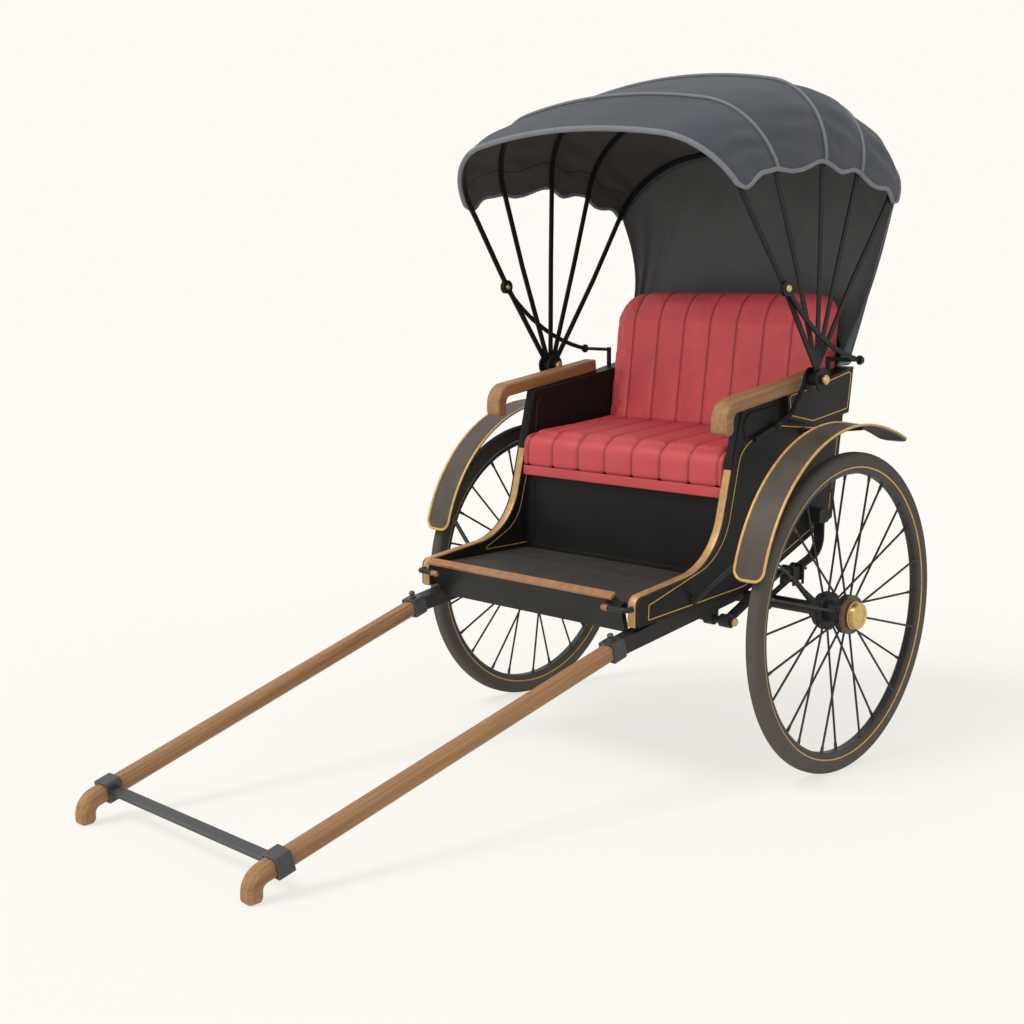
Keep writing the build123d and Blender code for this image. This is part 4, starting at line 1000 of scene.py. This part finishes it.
def arch(run, half, corner, slope, low, high):
    """A bow's outline: run is -1 at one hem and 1 at the other. From a hem inwards it goes up the
    wall from low to high, round the corner's arc, then along the flat crown's arc to the middle. A
    hem above the wall starts on the arc. Gives the distances across and out."""
    inward = 1 - abs(run)
    start = np.arcsin(np.clip((low - high) / corner, 0, 1))
    wall = np.maximum(high - low, 0)
    side = np.clip(inward / 0.5, 0, 1) * (wall + corner * (pi / 2 - slope - start))
    bend = start + np.maximum(side - wall, 0) / corner
    tilt = slope * (1 - np.clip((inward - 0.5) / 0.5, 0, 1))
    crown_r = (half - corner * (1 - sin(slope))) / sin(slope)
    on_crown = inward > 0.5
    across = np.where(on_crown, crown_r * np.sin(tilt), half - corner * (1 - np.cos(bend)))
    out = low + np.minimum(side, wall) + corner * (np.sin(bend) - np.sin(start))
    out = out + np.where(on_crown, crown_r * (np.cos(tilt) - cos(slope)), 0)
    return np.sign(run) * across, out


def hem_at(lean):
    """The hem's distance from the pivot at a lean: the table's points joined and smoothed."""
    fine = np.radians(np.linspace(39, -42, 325))
    line = np.interp(-fine, -np.radians(hem_table[:, 0]), hem_table[:, 1])
    padded_line = np.pad(line, 8, mode="edge")
    smooth = np.convolve(padded_line, np.hanning(17) / np.hanning(17).sum(), mode="valid")
    return np.interp(-lean, -fine, smooth)


def leg_top(share):
    """Where a bow's leg ends and its corner begins."""
    crown_half = hood_half - hood_corner * (1 - sin(hood_slope))
    return share * hood_reach - hood_corner * cos(hood_slope) - crown_half * tan(hood_slope / 2)


def about_pivot(across, out, lean):
    """Level points for distances across and out in a plane that leans forward about the pivot."""
    return np.stack([pivot_x + out * np.sin(lean), across, pivot_z + out * np.cos(lean)], -1)


def gore(front, along, run, lift):
    """A hood panel's points between bow `front` and the next: along goes from one to the other and
    run goes round the arch. The cloth is drawn straight from bow to bow, and stands off by lift and
    by sine along times a puff that is fullest at the shoulders, a slow wave, and creases above the
    hem. The hood's outer corners are rounded off, and its right hem hangs a little lower."""
    first, last = bow_leans[front], bow_leans[front + 1]
    inward = 1 - abs(run)
    round_off = corner_round * np.clip(1 - inward / 0.045, 0, 1) ** 2
    first = first + hem_over - round_off if front == 0 else first
    last = last - rear_over + round_off if front == 3 else last
    lean = first + along * (last - first)
    share = bow_shares[front] + along * (bow_shares[front + 1] - bow_shares[front])
    middle = np.sin(pi * along)
    drop = np.exp(-(((inward - 0.16) / 0.11) ** 2))
    crease = crease_depth * np.sin(2 * pi * (inward * 9.5 + 0.8 * along + 0.3 * front)) * drop
    slack = slack_depth * np.sin(2 * pi * (2.3 * run + 0.37 * front)) * np.sin(2 * pi * along) ** 2
    flare = flare_out * np.clip(1 - inward / 0.10, 0, 1) ** 2
    puff = crown_puff + side_puff * np.exp(-(((inward - 0.28) / 0.17) ** 2))
    off = lift + middle * (puff + crease + slack + flare)
    half_turn = (bow_leans[front] - bow_leans[front + 1]) / 2
    off_middle = np.clip(bow_leans[front] - half_turn - lean, -half_turn, half_turn)
    chord = cos(half_turn) / np.cos(off_middle)
    hem = hem_at(lean) - far_drop * (run < 0)
    across, out = arch(run, hood_half + off, hood_corner + off, hood_slope, hem / chord, leg_top(share))
    return about_pivot(across, out * chord, lean)


def two_faced(name, outer, inner, metres, materials):
    """A lined cloth: the outer grid, the inner grid facing the other way, and a strip of quads round
    their rim, turned inside out where its signed volume comes out negative."""
    rows, columns = outer.shape[:2]
    index = np.arange(rows * columns).reshape(rows, columns)
    quads = squares(index)
    rim = np.concatenate([index[0, :-1], index[:-1, -1], index[-1, :0:-1], index[:0:-1, 0]])
    onward, shift = np.roll(rim, -1), rows * columns
    faces = np.concatenate(
        [quads, quads[:, ::-1] + shift, np.stack([onward, rim, rim + shift, onward + shift], -1)]
    )
    points = np.concatenate([outer.reshape(-1, 3), inner.reshape(-1, 3)])
    a, b, c, d = (points[faces[:, corner]] - points.mean(0) for corner in range(4))
    volume = (a * np.cross(b, c)).sum() + (a * np.cross(c, d)).sum()
    faces = faces[:, ::-1] if volume < 0 else faces
    mesh = meshed(name, points, faces.tolist(), 60)
    side = np.repeat([0, 1, 0], [len(quads), len(quads), len(rim)]).astype(np.int32)
    mesh.polygons.foreach_set("material_index", side)
    corner_of = np.empty(len(mesh.loops), np.int32)
    mesh.loops.foreach_get("vertex_index", corner_of)
    flat_map = np.concatenate([metres.reshape(-1, 2)] * 2)
    mesh.uv_layers.new(name="cut").data.foreach_set("uv", flat_map[corner_of].astype(np.float32).ravel())
    for material in materials:
        mesh.materials.append(material)
    cloth = stand_in_scene(name, mesh)
    return cloth


def map_of(points):
    """Metres along both ways of a grid: across from its first column, and up from the nearer of
    its two hems."""
    across = np.pad(np.cumsum(strides(points, 1), 1), ((0, 0), (1, 0)))
    up = np.pad(np.cumsum(strides(points), 0), ((1, 0), (0, 0)))
    return np.stack([across, np.minimum(up, up[-1:] - up)], -1)


def corded(name, paths, thick, ups, body=None):
    """Cords of cloth over rope along paths, one grid for each."""
    cords = [carried(path, oval(thick, thick, 1.0, 10), up) for path, up in zip(paths, ups)]
    return piece(name, cords, piping_cloth, "hood_cloth", body, sharp=70)


hood_canvas = woven("hood_canvas", (0.062, 0.069, 0.083), 0.60)
hood_lining = woven("hood_lining", (0.074, 0.074, 0.070), 0.40, 480.0, seam=0.085)
piping_cloth = finish(
    "piping_canvas", (0.185, 0.195, 0.212), 0.70, specular=0.25, size=30, spread=0.10, grit=0.8
)
runs = np.linspace(-1, 1, 181)
spans = np.linspace(0, 1, 37)
for front in range(4):
    order = front + 1
    span_grid, run_grid = np.meshgrid(spans, runs)
    outer = gore(front, span_grid, run_grid, cloth_out)
    inner = gore(front, span_grid, run_grid, cloth_out - cloth_thick)
    panel = two_faced(
        f"hood_panel_{order}", outer, inner, map_of(outer), (hood_canvas, hood_lining)
    )
    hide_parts(f"canopy_{order}")
    hem_ends = [np.full(len(spans), end) for end in (-1.0, 1.0)]
    hem_paths = [gore(front, spans, end, cloth_out - hem_in) for end in hem_ends]
    hem = corded(f"hem_cord_{order}", hem_paths, hem_cord, -sideways)
    folds = (parked(about_pivot(0.0, fold_reach, bow_leans[bow])) for bow in (front + 1, front))
    rear_edge, front_side = folds
    for cloth in (panel, hem):
        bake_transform(cloth)
for at, lean in enumerate(bow_leans):
    first, last = at == 0, at == 4
    thick = front_cord if first else rear_cord if last else seam_cord
    stand = cloth_out + (0.0 if first or last else thick * 0.30)
    line = gore(min(at, 3), float(last), runs, stand)
    face = np.array((cos(lean), 0, -sin(lean)))
    corded(f"bow_cord_{at + 1}", [line], thick, [face], f"bow_{at + 1}")


# Rear curtain: a lined canvas back that hangs from the last bow and is tacked round the body's tail,
# in soft upright folds that die out at both edges.
curtain_lean, curtain_low, curtain_in = radians(-37.8), 0.650, 0.0050
foot_x, foot_z, foot_half, foot_corner, foot_wrap = -0.3382, 0.743, 0.461, 0.036, 0.060
fold_depth, fold_count, back_swell, side_swell = 0.009, 11, 0.012, 0.052
curtain_half, tail_gap, tack_rise, tack_out, tack_cord = 0.0012, 0.0018, 0.012, 0.003, 0.008


def curtain(run, rise, lift):
    """The curtain's points: from its foot, a box round the tail, up to the last bow's arch, in straight
    lines from the side that draw in across as the rise squared. It swells backwards by sine of the
    rise, most at its sides, and is pushed out by lift and by a wave across that grows and dies so."""
    top_across, top_out = arch(
        run, hood_half + curtain_in, hood_corner + curtain_in, hood_slope, curtain_low,
        leg_top(bow_shares[-1]),
    )
    top = about_pivot(top_across, top_out, curtain_lean)
    wall = -foot_corner - tail_gap
    foot_across, foot_out = arch(run, foot_half, foot_corner, radians(0.5), wall - foot_wrap, wall)
    foot = np.stack([foot_x - foot_out, foot_across, np.full_like(foot_out, foot_z)], -1)
    ease = np.stack([rise, rise**2, rise], -1)
    flat = foot + ease * (top - foot)
    flat[..., 0] -= np.sin(pi * rise) * (back_swell + side_swell * abs(run) ** 3)
    way = np.stack([-np.cos(run * 0.5 * pi) ** 0.5 - 0.2, 1.2 * run**3, 0 * run], -1)
    ripple = 0.55 + 0.45 * np.cos(2 * pi * fold_count * run / 2 + 0.5 * np.sin(3 * rise))
    wave = np.sin(pi * np.clip(rise, 0, 1)) ** 0.8 * ripple
    return flat + unit(way) * (lift + fold_depth * wave)[..., None]


curtain_canvas = woven("curtain_canvas", (0.056, 0.062, 0.074), 0.50)
# Painted light: the curtain's lining is a lighter copy of the hood lining, to offset the shade inside the
# hood
curtain_lining_painted_lighter = woven("curtain_lining_painted_lighter", (0.125, 0.126, 0.123), 0.45, 480.0)
runs = np.linspace(-1, 1, 161)
run_grid, rise_grid = np.meshgrid(runs, np.linspace(0, 1, 49))
outer = curtain(run_grid, rise_grid, curtain_half)
inner = curtain(run_grid, rise_grid, -curtain_half)
back_cloth = two_faced(
    "back_curtain", outer, inner, map_of(outer), (curtain_canvas, curtain_lining_painted_lighter)
)
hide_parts("rear_curtain")
tack_line = curtain(runs, np.full(len(runs), tack_rise), tack_out)
foot_cord = corded("curtain_cord", [tack_line], tack_cord, [(0, 0, 1)])
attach(foot_cord, "carriage")
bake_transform(back_cloth)
